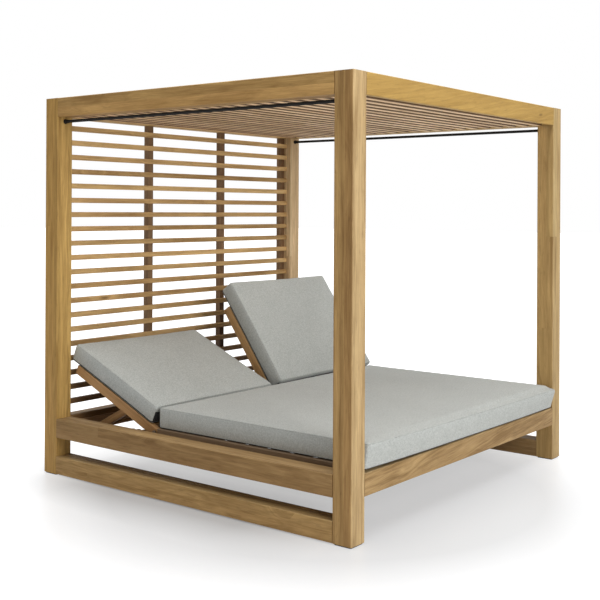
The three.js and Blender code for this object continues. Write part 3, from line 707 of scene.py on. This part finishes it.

# Bed deck: stiles bolted inside the side rails, a centre beam, fold rails, and slats laid on cleats.
# The head ledger stops the backrests when they lie flat. All of it is plain oiled teak, and the stiles are
# painted dark as shade.

bed_tones = {
    "Base": (0.3, 0.17, 0.07),
    "Board_Length": one_board,
    "Strip_Deep": one_board,
    "Shift_Deep": amid_board,
    "Knots": 0.06,
}
deck_looks = {**bed_tones, "Strip_Across": 0.11}
lengthwise = timber("deck_timber_long", Grain=axis_y, Across=axis_x, Seed=61.0, **deck_looks)
crosswise = timber("deck_timber_cross", Grain=axis_x, Across=axis_y, Seed=62.0, **deck_looks)
dress("centre_beam", lengthwise)
for name in ("deck_slats_left", "deck_slats_right", "fold_rail_left", "fold_rail_right", "head_ledger"):
    dress(name, crosswise)
# Painted shade: the stiles are painted much darker than the deck, standing for the shadow gap under the
# mattress's edge.
shade_stile_looks = {**bed_tones, "Base": (0.16, 0.107, 0.062), "Strip_Across": strip_for_each}
shade_stile_timber = timber("deck_stile_shaded_timber", Grain=axis_y, Across=axis_x, Seed=64.0, **shade_stile_looks)
for side in ("left", "right"):
    dress("deck_stile_" + side, shade_stile_timber)

# Racks: four notched boards on edge between the fold rails and the head ledger.
# The round foot bars of the props drop into their notches, which is how the backrests stay up.

rack_looks = {**bed_tones, "Strip_Across": strip_for_each}
rack = timber("rack_timber", Grain=axis_y, Across=axis_z, Seed=63.0, **rack_looks)
for side in ("left", "right"):
    for place in ("outer", "inner"):
        dress(f"rack_{side}_{place}", rack)

# Backrests: two folding frames of side rails, head and foot rails and flat slats, hinged at the fold.
# Under each one a prop of two legs and a round foot bar swings down to hold it at its angle.

# How steeply each backrest stands at rest: the left one is propped low and the right one high.
rests = {"left": math.radians(23.4), "right": math.radians(54.3)}
rail_looks = {**bed_tones, "Base": (0.41, 0.24, 0.1), "Strip_Across": strip_for_each}
slat_looks = {**bed_tones, "Strip_Across": 0.08}
rail_timber = {}
for number, (side, angle) in enumerate(rests.items()):
    uphill = (0, math.cos(angle), math.sin(angle))
    name = "backrest_rail_timber_" + side
    rail_timber[side] = timber(name, Grain=uphill, Across=axis_x, Seed=71.0 + number, **rail_looks)
    for place in ("outer", "inner"):
        dress(f"backrest_rail_{side}_{place}", rail_timber[side])
    name = "backrest_slat_timber_" + side
    slat = timber(name, Grain=axis_x, Across=uphill, Seed=73.0 + number, **slat_looks)
    for name in ("backrest_head_rail_", "backrest_foot_rail_", "backrest_slats_"):
        dress(name + side, slat)
    low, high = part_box("prop_" + side)
    down = Vector((0, high[1] - low[1], low[2] - high[2])).normalized()
    name = "prop_timber_" + side
    leg = timber(name, Grain=tuple(down), Across=axis_x, Seed=75.0 + number, **rail_looks)
    dress("prop_" + side, leg)

# Glides: low black plastic pads, one nailed under the end of each post.
# They keep the end grain off the wet ground.

glide_plastic = smooth_finish("glide_plastic", (0.02, 0.02, 0.02), 0.6)
for end in ("front", "back"):
    for side in ("left", "right"):
        dress(f"glide_{end}_{side}", glide_plastic)

# Hinges and bolts: bronzed steel plates screwed inside the side rails, each with a welded bolt and collar,
# one long bolt through the centre beam, and prop bolts whose sunk heads are hidden by teak plugs.

bronzed, tree = new_material("bolt_steel")
shader = tree.nodes["Principled BSDF"]
brushed = noise_node(tree, add_node(tree, "ShaderNodeTexCoord").outputs["Object"], 300.0, detail=3.0)
tree.links.new(map_range(tree, brushed, 0.3, 0.7, 0.34, 0.5), shader.inputs["Roughness"])
bronze_dark, bronze_light = (0.14, 0.11, 0.085, 1), (0.24, 0.2, 0.16, 1)
tree.links.new(mix_colour(tree, brushed, bronze_dark, bronze_light), shader.inputs["Base Color"])
shader.inputs["Metallic"].default_value = 1.0
bolt_radius, head_radius, head_height = 0.006, 0.0115, 0.004
collar_radius, washer_thickness, clearance = 0.0125, 0.0024, 0.0003


def hex_nut(mesh_data, centre, axis, radius, height):
    """A hexagon nut with its outer corners turned off."""
    turned_from, top_share = 0.8, 0.86
    profile = [(0, 0), (radius, 0), (radius, height * turned_from), (radius * top_share, height), (0, height)]
    turn(mesh_data, profile, centre, axis, sides=6)


def bolt_piece(name, mesh_data, node, body):
    piece = to_object(name, mesh_data, bronzed, crisp=30)
    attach(piece, body)
    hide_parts(node)


low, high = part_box("hinge_bolt_centre")
hinge_y, hinge_z = (low[1] + high[1]) / 2, (low[2] + high[2]) / 2
reach = high[0] - head_height
beam_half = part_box("centre_beam")[1][0]
bolt = bmesh.new()
shank = [(0, -reach), (bolt_radius, -reach), (bolt_radius, reach), (0, reach)]
turn(bolt, shank, (0, hinge_y, hinge_z), axis_x)
washer = [(0, 0), (collar_radius, 0), (collar_radius, washer_thickness), (0, washer_thickness)]
for way in (-1, 1):
    outward = (way, 0, 0)
    turn(bolt, washer, (way * (beam_half + clearance), hinge_y, hinge_z), outward)
    hex_nut(bolt, (way * reach, hinge_y, hinge_z), outward, head_radius, head_height - clearance)
bolt_piece("centre_bolt", bolt, "hinge_bolt_centre", "frame")

plate_thickness, plate_radius, plate_drop, plate_bevel = 0.004, 0.012, 0.06, 0.0004
# The plate is straight below its bolt and half round above it.
round_steps = 16
collar_sunk, collar_length, collar_ease = 0.001, 0.0049, 0.0008
plate_screw_radius, plate_screw_places = 0.0045, (0.45, 0.8)
for side, way in (("left", 1), ("right", -1)):
    low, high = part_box("hinge_plate_" + side)
    face = low[0] if way > 0 else high[0]
    hinge = bmesh.new()
    outline = [(-plate_radius, -plate_drop), (plate_radius, -plate_drop)]
    for step in range(round_steps + 1):
        angle = math.pi * step / round_steps
        outline.append((plate_radius * math.cos(angle), plate_radius * math.sin(angle)))
    rows = []
    for depth, inset in (
        (0, plate_bevel),
        (plate_bevel, 0),
        (plate_thickness - plate_bevel, 0),
        (plate_thickness, plate_bevel),
    ):
        shrink = 1 - inset / plate_radius
        rows.append([
            hinge.verts.new((
                face + way * depth,
                hinge_y + y * shrink,
                hinge_z + z * (shrink if z > 0 else 1),
            ))
            for y, z in outline
        ])
    for first, second in zip(rows, rows[1:]):
        bridge(hinge, first, second)
    hinge.faces.new(rows[0])
    hinge.faces.new(rows[-1])
    bmesh.ops.recalc_face_normals(hinge, faces=hinge.faces)
    inward = (way, 0, 0)
    seat = (face + way * plate_thickness, hinge_y, hinge_z)
    nut_at = high[0] - low[0] - plate_thickness - head_height
    profile = [
        (0, -collar_sunk),
        (collar_radius - collar_ease, -collar_sunk),
        (collar_radius - collar_ease, collar_length),
        (bolt_radius, collar_length),
        (bolt_radius, nut_at),
        (0, nut_at),
    ]
    turn(hinge, profile, seat, inward)
    hex_nut(hinge, Vector(seat) + Vector(inward) * nut_at, inward, head_radius, head_height)
    for share in plate_screw_places:
        flat_screw(hinge, (seat[0], hinge_y, hinge_z - share * plate_drop), inward, plate_screw_radius)
    bolt_piece("hinge_" + side, hinge, "hinge_plate_" + side, "frame")

plug_radius, plug_thickness, plug_ease = 0.0088, 0.0016, 0.0003
pin_radius, pin_nut_radius = 0.005, 0.0088
# A collar on the pin fills the slit between the backrest's side rail and the prop's leg.
side_rail_thickness, leg_slit = 0.028, 0.005
pin_collar_from = side_rail_thickness + clearance
pin_collar_to = side_rail_thickness + leg_slit - clearance
for side in ("left", "right"):
    for place in ("outer", "inner"):
        node = f"prop_bolt_{side}_{place}"
        low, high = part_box(node)
        way = 1 if (side == "left") == (place == "outer") else -1
        start = Vector((low[0] if way > 0 else high[0], (low[1] + high[1]) / 2, (low[2] + high[2]) / 2))
        inward = Vector((way, 0, 0))
        nut_at = high[0] - low[0] - head_height
        profile = [
            (0, plug_thickness),
            (plug_radius - plug_ease, plug_thickness),
            (plug_radius - plug_ease, head_height),
            (pin_radius, head_height),
            (pin_radius, pin_collar_from),
            (collar_radius, pin_collar_from),
            (collar_radius, pin_collar_to),
            (pin_radius, pin_collar_to),
            (pin_radius, nut_at),
            (0, nut_at),
        ]
        pin = bmesh.new()
        turn(pin, profile, start, inward)
        hex_nut(pin, start + inward * nut_at, inward, pin_nut_radius, head_height)
        bolt_piece(f"prop_pin_{side}_{place}", pin, node, "backrest_" + side)
        plug_profile = [
            (0, 0),
            (plug_radius - plug_ease, 0),
            (plug_radius, plug_ease),
            (plug_radius, plug_thickness),
            (0, plug_thickness),
        ]
        plug_shape = bmesh.new()
        turn(plug_shape, plug_profile, start, inward)
        plug = to_object(f"prop_plug_{side}_{place}", plug_shape, rail_timber[side], crisp=30)
        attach(plug, "backrest_" + side)
grille_screws = to_object("grille_screws", screws, bronzed, crisp=30)
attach(grille_screws, "frame")

# Mattress: one foam pad in a pale grey woven outdoor cover, cut square and sewn along every edge.
# It lies loose on the deck over a dark base cloth; its foot end leans out over the foot rail and sags there.


def make_weave():
    """Plain weave of melange yarn: threads, pale and dark flecks, slubs and broad uneven wear."""
    tree, given, result = new_group(
        "melange_weave",
        [
            ("Yarn Pitch", "Float", 0.0013),
            ("Pale", "Color", (0.5, 0.5, 0.47, 1)),
            ("Deep", "Color", (0.3, 0.3, 0.28, 1)),
            ("Speckle", "Float", 0.5),
        ],
        surface_outputs,
    )
    place = add_node(tree, "ShaderNodeTexCoord").outputs["Object"]
    parts = add_node(tree, "ShaderNodeSeparateXYZ", {0: place}).outputs

    def calc(operation, first, second=0.0, clamp=False):
        return math_node(tree, operation, first, second, clamp)

    def threads(level, rise_share):
        """Waves one yarn apart. On upright faces the height carries them on."""
        place_over = calc("ADD", level, calc("MULTIPLY", parts[2], rise_share))
        turns = calc("DIVIDE", calc("MULTIPLY", place_over, 2 * math.pi), given["Yarn Pitch"])
        return calc("SINE", turns)

    crossed = calc("MULTIPLY", threads(parts[0], 0.5), threads(parts[1], 0.87))
    cloth = calc("MULTIPLY", calc("ADD", crossed, 1.0), 0.5)
    fine = noise_node(tree, place, 620.0, rough=0.6)
    slubs = noise_node(tree, vector_node(tree, "MULTIPLY", place, (70.0, 360.0, 300.0)), 1.0, detail=1.0)
    soft = noise_node(tree, place, 9.0, detail=4.0, rough=0.6)
    flecks = noise_node(tree, place, 165.0, detail=3.0, rough=0.6)

    # From the middle shade, flecks and slubs of the melange, and then slight wear and the yarn's relief.
    shade = 0.5
    for part, low, high, share in (
        (fine, 0.35, 0.65, 0.5),
        (slubs, 0.38, 0.62, 0.3),
        (flecks, 0.36, 0.64, 0.75),
    ):
        speck = map_range(tree, part, low, high, -share, share)
        shade = calc("ADD", shade, calc("MULTIPLY", speck, given["Speckle"]))
    uneven = 0.06
    shade = calc("ADD", shade, map_range(tree, soft, 0.3, 0.7, -uneven, uneven))
    shade = calc("ADD", shade, map_range(tree, cloth, 0.0, 1.0, -uneven, uneven), clamp=True)
    tree.links.new(mix_colour(tree, shade, given["Deep"], given["Pale"]), result["Color"])
    tree.links.new(map_range(tree, shade, 0.0, 1.0, 0.95, 0.86), result["Roughness"])
    height = calc("ADD", calc("MULTIPLY", cloth, 0.6), calc("MULTIPLY", fine, 0.4))
    tree.links.new(height, result["Height"])
    return tree


melange_weave = make_weave()


def woven(name, pale, deep, speckle, pitch=0.0013, sheen=0.2):
    """A material of melange yarn, flecked between a pale and a deep tone, with a faint nap."""
    material, tree = new_material(name)
    outputs = place_group(tree, melange_weave, Yarn_Pitch=pitch, Pale=pale, Deep=deep, Speckle=speckle)
    shader = finish_surface(tree, outputs, specular=0.15, bump_strength=0.5, bump_depth=0.0007)
    shader.inputs["Sheen Weight"].default_value = sheen
    shader.inputs["Sheen Roughness"].default_value = 0.45
    return material


cover_cloth = woven("cover_cloth", (0.557, 0.577, 0.551), (0.33, 0.344, 0.326), 0.36)
base_cloth_and_shade = woven("base_cloth_and_shade", (0.05, 0.05, 0.052), (0.018, 0.018, 0.019), 0.5, pitch=0.0016, sheen=0.1)
seam_thread = woven("seam_thread", (0.44, 0.445, 0.42), (0.2, 0.205, 0.19), 0.4)
seam_radius, seam_inset = 0.001, 0.002


def mesh_lines(half, edge, spacing):
    """Places of the mesh lines across one width of a pad, close together over its sewn edge."""
    edge_shares = (0.3, 0.6, 0.82, 1.0)
    inner = half - edge
    count = max(2, round(2 * inner / spacing))
    flat = [inner * (2 * step / count - 1) for step in range(count + 1)]
    rounded = [inner + edge * share for share in edge_shares]
    return [-value for value in reversed(rounded)] + flat + rounded


def boxed_pad(size, edge, spacing):
    """A closed pad with square corners, centred on its own origin, with slightly round sewn edges."""
    half = np.array(size) / 2
    side_share = 0.8
    spacings = (spacing, spacing, spacing * side_share)
    lines = [mesh_lines(value, edge, step) for value, step in zip(half, spacings)]
    pad = bmesh.new()
    found = {}

    def corner(*index):
        if index not in found:
            place = np.array([line[number] for line, number in zip(lines, index)])
            core = np.clip(place, edge - half, half - edge)
            out = place - core
            found[index] = pad.verts.new(core + out * edge / np.linalg.norm(out))
        return found[index]

    for axis in range(3):
        first, second = (axis + 1) % 3, (axis + 2) % 3
        for level, flip in ((0, True), (len(lines[axis]) - 1, False)):
            for i in range(len(lines[first]) - 1):
                for j in range(len(lines[second]) - 1):
                    index = [0, 0, 0]
                    loop = []
                    for di, dj in ((0, 0), (1, 0), (1, 1), (0, 1)):
                        index[axis], index[first], index[second] = level, i + di, j + dj
                        loop.append(corner(*index))
                    pad.faces.new(reversed(loop) if flip else loop)
    return pad


def points_of(mesh):
    """A mesh's points as rows of x, y and z."""
    points = np.empty(len(mesh.vertices) * 3, dtype=np.float64)
    mesh.vertices.foreach_get("co", points)
    return points.reshape(-1, 3)


def set_points(mesh, points):
    mesh.vertices.foreach_set("co", points.astype(np.float32).ravel())
    mesh.update()


def apply_modifiers(obj):
    """Puts the shape that an object's modifiers give it into its own mesh."""
    bpy.context.view_layer.update()
    evaluated = obj.evaluated_get(bpy.context.evaluated_depsgraph_get())
    mesh = bpy.data.meshes.new_from_object(evaluated)
    old = obj.data
    obj.modifiers.clear()
    obj.data = mesh
    bpy.data.meshes.remove(old)


def smooth_step(values, low, high):
    """Rises softly from 0 at low to 1 at high."""
    share = np.clip((values - low) / (high - low), 0, 1)
    return share * share * (3 - 2 * share)


def from_edges(points, half):
    """How far each point lies from the nearest sewn edge: the middle one of its three distances inwards."""
    return np.sort(half - np.abs(points), axis=1)[:, 1]


def stuff(obj, size, edge, most):
    """Fills the cover with foam: pressure swells the cloth between its pinned seams.

    The swell along each axis comes close to, but not past, the most that is given for it.
    """
    quick_full_swell, pinned_share, level_share = 0.07, 0.7, 0.3
    pressure, frames = 4.0, 20
    half = np.array(size) / 2
    start = points_of(obj.data)
    inside = from_edges(start, half)
    seams = obj.vertex_groups.new(name="seams")
    seams.add([int(number) for number in np.flatnonzero(inside < edge * pinned_share)], 1.0, "REPLACE")
    cloth = obj.modifiers.new("cover", "CLOTH")
    settings = cloth.settings
    settings.quality = 5
    settings.mass = 0.4
    settings.tension_stiffness = 18
    settings.compression_stiffness = 9
    settings.shear_stiffness = 6
    settings.bending_stiffness = 1.2
    settings.use_pressure = True
    settings.uniform_pressure_force = pressure
    settings.effector_weights.gravity = 0
    settings.vertex_group_mass = "seams"
    cloth.collision_settings.use_collision = False
    for number in range(1, frames + 1):
        bpy.context.scene.frame_set(number)
    apply_modifiers(obj)
    bpy.context.scene.frame_set(1)
    obj.vertex_groups.clear()
    move = np.array(most) * np.tanh((points_of(obj.data) - start) / most)
    points = start + move
    # The underside lies flat on the slats.
    points[:, 2] = np.maximum(points[:, 2], -half[2])
    set_points(obj.data, points)


def creases(points, half, seed, depth):
    """Soft puckers that run in from the sewn edges and die out towards the middle of each face."""
    wave_count, shortest, longest, fade_length = 9, 0.035, 0.16, 0.05
    rng = np.random.default_rng(seed)
    gap = half[:2] - np.abs(points[:, :2])
    fade = np.exp(-np.clip(gap.min(axis=1), 0, None) / fade_length)
    along = np.where(gap[:, 0] < gap[:, 1], points[:, 1], points[:, 0])
    waves = np.zeros(len(points))
    for _ in range(wave_count):
        period = rng.uniform(shortest, longest)
        start = rng.uniform(0, 7)
        strength = rng.uniform(0.4, 1.0)
        waves += np.sin(along * 2 * math.pi / period + start) * strength / wave_count
    # Broad, faint unevenness of the foam under the whole cover.
    broad = np.sin(points[:, 0] * 5.1 + seed) * np.cos(points[:, 1] * 6.3 + 2 * seed) * 0.35
    return depth * (waves * fade + broad * 0.5)


def finish_pad(obj, size, seed, dark_end, hem):
    """Puckers the cover, draws its sides in between the corners, and sews on the dark base cloth.

    The base cloth comes up to the hem, where it is partly painted shade for the dark gap under the pad.
    It also covers most of one end, partly as painted shade there: the head end is 1, the foot end -1.
    """
    crease_depth, crease_full_share, draw = 0.0022, 0.7, 0.004
    end_facing, end_top_share = 0.8, 0.4
    half = np.array(size) / 2
    points = points_of(obj.data)
    top = smooth_step(points[:, 2], 0.0, half[2] * crease_full_share)
    points[:, 2] += creases(points, half, seed, crease_depth) * top
    shares = points / half
    bow = np.cos(np.clip(shares, -1, 1) * math.pi / 2)
    points[:, 0] -= draw * shares[:, 0] ** 5 * bow[:, 1]
    points[:, 1] -= draw * shares[:, 1] ** 5 * bow[:, 0]
    set_points(obj.data, points)
    obj.data.materials.append(base_cloth_and_shade)
    for polygon in obj.data.polygons:
        normal, centre = polygon.normal, polygon.center
        # The dark cloth under the pad is real; along the hem and over most of one end it is partly painted
        # shade.
        under = centre.z < hem - half[2]
        at_end = dark_end * normal.y > end_facing and centre.z < half[2] * end_top_share
        polygon.material_index = int(under or at_end)
    fine = obj.modifiers.new("fine", "SUBSURF")
    fine.levels = fine.render_levels = 1
    apply_modifiers(obj)
    for polygon in obj.data.polygons:
        polygon.use_smooth = True


def seam_line(name, obj, path, closed=True):
    """A sewn seam: a thin raised line of thread that follows the cover's real surface."""
    raised_share = 0.25
    cover = BVHTree.FromObject(obj, bpy.context.evaluated_depsgraph_get())
    centres, normals = [], []
    for point in path:
        near, normal = cover.find_nearest(Vector(point))[:2]
        centres.append(near + normal * seam_radius * raised_share)
        normals.append(normal)
    line = bmesh.new()
    rows = []
    count = len(centres)
    for index, centre in enumerate(centres):
        ahead = centres[(index + 1) % count] if closed or index + 1 < count else centre
        behind = centres[index - 1] if closed or index > 0 else centre
        forward = (ahead - behind).normalized()
        side = forward.cross(normals[index]).normalized()
        rows.append(ring(line, centre, side, side.cross(forward), seam_radius, sides=6))
    for low, high in zip(rows, rows[1:]):
        bridge(line, low, high)
    if closed:
        bridge(line, rows[-1], rows[0])
    else:
        line.faces.new(rows[0])
        line.faces.new(rows[-1])
    bmesh.ops.recalc_face_normals(line, faces=line.faces)
    return to_object(name, line, seam_thread)


def straight(start, end, step=0.012):
    """Evenly spaced points from start up to, but not including, end."""
    start, end = Vector(start), Vector(end)
    count = max(1, round((end - start).length / step))
    return [start.lerp(end, part / count) for part in range(count)]


def edge_path(size, z):
    """Points round the sewn edge of a pad at one level, just inside its square corners."""
    x, y = size[0] / 2 - seam_inset, size[1] / 2 - seam_inset
    corners = [(x, -y, z), (x, y, z), (-x, y, z), (-x, -y, z)]
    return [point for i in range(4) for point in straight(corners[i], corners[(i + 1) % 4])]


mattress_low, mattress_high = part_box("mattress")
deck_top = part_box("centre_beam")[1][2]
foot_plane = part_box("bed_rail_front")[1][1]
mattress_thickness = 0.105
mattress_front_line = -0.997
mattress_edge, mattress_mesh, mattress_hem = 0.015, 0.017, 0.0065
mattress_swell, mattress_crown, above_deck = 0.006, 0.007, 0.0006
mattress_size = (
    mattress_high[0] - mattress_low[0] - 2 * mattress_swell,
    mattress_high[1] - mattress_swell - mattress_front_line,
    mattress_thickness,
)
mattress_centre = Vector((
    0,
    mattress_front_line + mattress_size[1] / 2,
    deck_top + (above_deck + mattress_thickness / 2),
))
mattress_pad = boxed_pad(mattress_size, mattress_edge, mattress_mesh)
mattress = to_object("mattress_cover", mattress_pad, cover_cloth)
stuff(mattress, mattress_size, mattress_edge, (mattress_swell, mattress_swell, mattress_crown))
finish_pad(mattress, mattress_size, seed=5, dark_end=1, hem=mattress_hem)


def hang_front(points):
    """The foot end: it leans out past the foot rail, and sinks towards it more and more to the right."""
    places = (-1, -0.6, 0, 0.5, 1)
    sinks_at_bottom = (0.014, 0.017, 0.02, 0.021, 0.0215)
    sinks_at_top = (0.001, 0.005, 0.009, 0.013, 0.014)
    sink_length, lean_none_at, lean_full_at = 0.04, 0.72, 0.995
    # How far it leans in the middle, and how much of that is lost at the left and at the right corner.
    top_lean, top_lost = 0.034, (0.016, 0.003)
    bottom_lean, bottom_lost = 0.017, (0.017, 0.012)
    towards_foot = -(points[:, 1] + mattress_centre.y)
    shares = np.clip(points[:, 0] / (mattress_size[0] / 2), -1, 1)
    height = smooth_step(points[:, 2], -mattress_thickness / 2, mattress_thickness / 2)
    sink_bottom = np.interp(shares, places, sinks_at_bottom)
    sink_top = np.interp(shares, places, sinks_at_top)
    past_rail = smooth_step(towards_foot, -foot_plane, sink_length - foot_plane)
    points[:, 2] -= past_rail * (sink_bottom + (sink_top - sink_bottom) * height)
    corner = np.abs(shares) ** 3
    lean_top = top_lean - corner * np.where(shares < 0, *top_lost)
    lean_bottom = bottom_lean - corner * np.where(shares < 0, *bottom_lost)
    leaning = smooth_step(towards_foot, lean_none_at, lean_full_at)
    points[:, 1] -= leaning * (lean_bottom + (lean_top - lean_bottom) * height)
    return points


set_points(mattress.data, hang_front(points_of(mattress.data)))
side_x, rear_y, half_z = -mattress_size[0] / 2, mattress_size[1] / 2, mattress_thickness / 2
# Seams run round the top edge and the hem, and two short ones close the cover near its rear left corner.
upright_inset, upright_gap = 0.075, 0.008
short_start, short_end, short_drop = 0.01, 0.05, 0.035
upright_y, upright_z = rear_y - upright_inset, half_z - upright_gap
short_z = half_z - short_drop
seam_paths = [
    (edge_path(mattress_size, half_z - seam_inset), True),
    (edge_path(mattress_size, mattress_hem - half_z), True),
    (straight((side_x, upright_y, upright_z), (side_x, upright_y, -upright_z)), False),
    (straight((side_x, rear_y - short_start, short_z), (side_x, rear_y - short_end, short_z)), False),
]
pieces = [mattress]
for number, (path, closed) in enumerate(seam_paths):
    moved = hang_front(np.array([tuple(point) for point in path]))
    pieces.append(seam_line(f"mattress_seam_{number}", mattress, moved, closed))
for piece in pieces:
    piece.location = mattress_centre
    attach(piece, "frame")
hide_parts("mattress")

# Backrest cushions: two loose pads in the same cover, one on each backrest, with a dark base cloth and foot
# end that are partly painted shade. They are not tied down, so they slip up a little as the mattress end
# pushes them.

cushion_thickness, cushion_edge, cushion_mesh, cushion_hem = 0.1, 0.019, 0.014, 0.0135
cushion_swell = (0.004, 0.0025, 0.009)
for number, (side, angle) in enumerate(rests.items()):
    sine, cosine = math.sin(angle), math.cos(angle)
    solid = points_of(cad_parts["backrest_cushion_" + side].data)
    uphill = solid[:, 1] * cosine + solid[:, 2] * sine
    off_slope = solid[:, 2] * cosine - solid[:, 1] * sine
    tilted = np.stack([solid[:, 0], uphill, off_slope], axis=1)
    low, high = tilted.min(axis=0), tilted.max(axis=0)
    size = (
        high[0] - low[0] - 2 * cushion_swell[0],
        high[1] - low[1] - 2 * cushion_swell[1],
        cushion_thickness,
    )
    pad = to_object("backrest_pad_" + side, boxed_pad(size, cushion_edge, cushion_mesh), cover_cloth)
    stuff(pad, size, cushion_edge, cushion_swell)
    finish_pad(pad, size, seed=8 + number, dark_end=-1, hem=cushion_hem)
    pieces = [pad]
    for level in (1, -1):
        path = edge_path(size, level * (cushion_thickness / 2 - seam_inset))
        pieces.append(seam_line(f"backrest_pad_seam_{side}_{level + 1}", pad, path))
    along, up = (low[1] + high[1]) / 2, low[2] + cushion_thickness / 2
    centre = ((low[0] + high[0]) / 2, along * cosine - up * sine, along * sine + up * cosine)
    for piece in pieces:
        piece.rotation_euler = (angle, 0, 0)
        piece.location = centre
        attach(piece, "cushion_" + side)
    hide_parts("backrest_cushion_" + side)

# Studio: a wide white floor that keeps only a soft grey shadow, white all round, a broad lamp overhead
# and a second one beyond the foot end.


def seen_rays(tree, *kinds):
    """1 on the rays that show a surface in the picture, 0 on those that only light other things."""
    rays = add_node(tree, "ShaderNodeLightPath").outputs
    seen = rays[f"Is {kinds[0]} Ray"]
    for kind in kinds[1:]:
        seen = math_node(tree, "MAXIMUM", seen, rays[f"Is {kind} Ray"])
    return seen


floor_material, tree = new_material("floor")
shader = tree.nodes["Principled BSDF"]
shader.inputs["Roughness"].default_value = 0.4
shader.inputs["Specular IOR Level"].default_value = 0.3
seen = seen_rays(tree, "Camera", "Glossy")
lighting_tone, seen_tone = (0.9, 0.9, 0.9, 1), (0.277, 0.282, 0.289, 1)
tree.links.new(mix_colour(tree, seen, lighting_tone, seen_tone), shader.inputs["Base Color"])

# The floor glows up to plain white away from the bed and less near it, so the soft pool of shadow is partly
# real and partly painted.
place = add_node(tree, "ShaderNodeTexCoord").outputs["Object"]
to_pool_middle = (0.35, 0.35, 0)
pool_radius, white_radius, pool_glow, white_glow = 1.1, 2.0, 0.49, 1.0
from_pool = vector_node(tree, "ADD", place, to_pool_middle)
far = vector_node(tree, "LENGTH", from_pool, output="Value")
glow_level = map_range(tree, far, pool_radius, white_radius, pool_glow, white_glow)
# A painted contact shadow lies along the left low rail: it fades in and out over two ramps each way.
shade = 0.25
for axis, none_at, full_at in (
    (axis_x, -1.42, -1.12),
    (axis_x, -0.55, -1.0),
    (axis_y, -0.9, -0.4),
    (axis_y, 1.3, 0.7),
):
    shade = math_node(tree, "MULTIPLY", map_range(tree, dot(tree, place, axis), none_at, full_at), shade)
strength = math_node(tree, "MULTIPLY", seen, math_node(tree, "SUBTRACT", glow_level, shade))
glow = add_node(tree, "ShaderNodeEmission", {"Color": (1, 1, 1, 1), "Strength": strength})
both = add_node(tree, "ShaderNodeAddShader", {0: shader.outputs[0], 1: glow.outputs[0]})
tree.links.new(both.outputs[0], tree.nodes["Material Output"].inputs["Surface"])
ground = bmesh.new()
bmesh.ops.create_grid(ground, x_segments=2, y_segments=2, size=60)
floor = to_object("floor", ground, floor_material)

world = bpy.data.worlds.new("studio")
bpy.context.scene.world = world
world.use_nodes = True
tree = world.node_tree
seen = seen_rays(tree, "Camera", "Glossy", "Transmission")
room_light, backdrop = 0.13, 1.0
background = tree.nodes["Background"]
background.inputs["Color"].default_value = (1, 1, 1, 1)
tree.links.new(map_range(tree, seen, 0.0, 1.0, room_light, backdrop), background.inputs["Strength"])


def soft_lamp(name, place, aim, size, power):
    """A rectangular lamp that faces the point that it is aimed at."""
    light = bpy.data.lights.new(name, "AREA")
    light.shape = "RECTANGLE"
    light.size, light.size_y = size
    light.energy = power
    lamp = bpy.data.objects.new(name, light)
    lamp.location = place
    lamp.rotation_euler = (Vector(aim) - Vector(place)).to_track_quat("-Z", "Y").to_euler()
    bpy.context.collection.objects.link(lamp)


soft_lamp("overhead", (-0.5, -0.8, 6.5), aim=(-0.5, -0.8, 0.0), size=(7.0, 7.0), power=520)
soft_lamp("key", (-2.0, -7.2, 3.2), aim=(0, 0, 1.0), size=(4.0, 3.0), power=290)

# The camera stands almost level, and its lens is shifted down to the bed, so the posts stay upright.
camera_place = (-4.6012, -3.4905, 1.4269)
yaw, pitch, roll = 0.908, 0.001, 0.005
forward = Vector((math.sin(yaw) * math.cos(pitch), math.cos(yaw) * math.cos(pitch), math.sin(pitch)))
level = Vector((math.cos(yaw), -math.sin(yaw), 0))
upward = level.cross(forward)
right = level * math.cos(roll) + upward * math.sin(roll)
upward = upward * math.cos(roll) - level * math.sin(roll)
camera_data = bpy.data.cameras.new("camera")
camera_data.lens = 61.668
camera_data.sensor_width = 36.0
camera_data.shift_y = -0.15097
camera_data.clip_end = 300
camera = bpy.data.objects.new("camera", camera_data)
turned_to = Matrix((right, upward, -forward)).transposed().to_4x4()
camera.matrix_world = Matrix.Translation(camera_place) @ turned_to
bpy.context.collection.objects.link(camera)
bpy.context.scene.camera = camera
bpy.context.scene.view_settings.view_transform = "Standard"
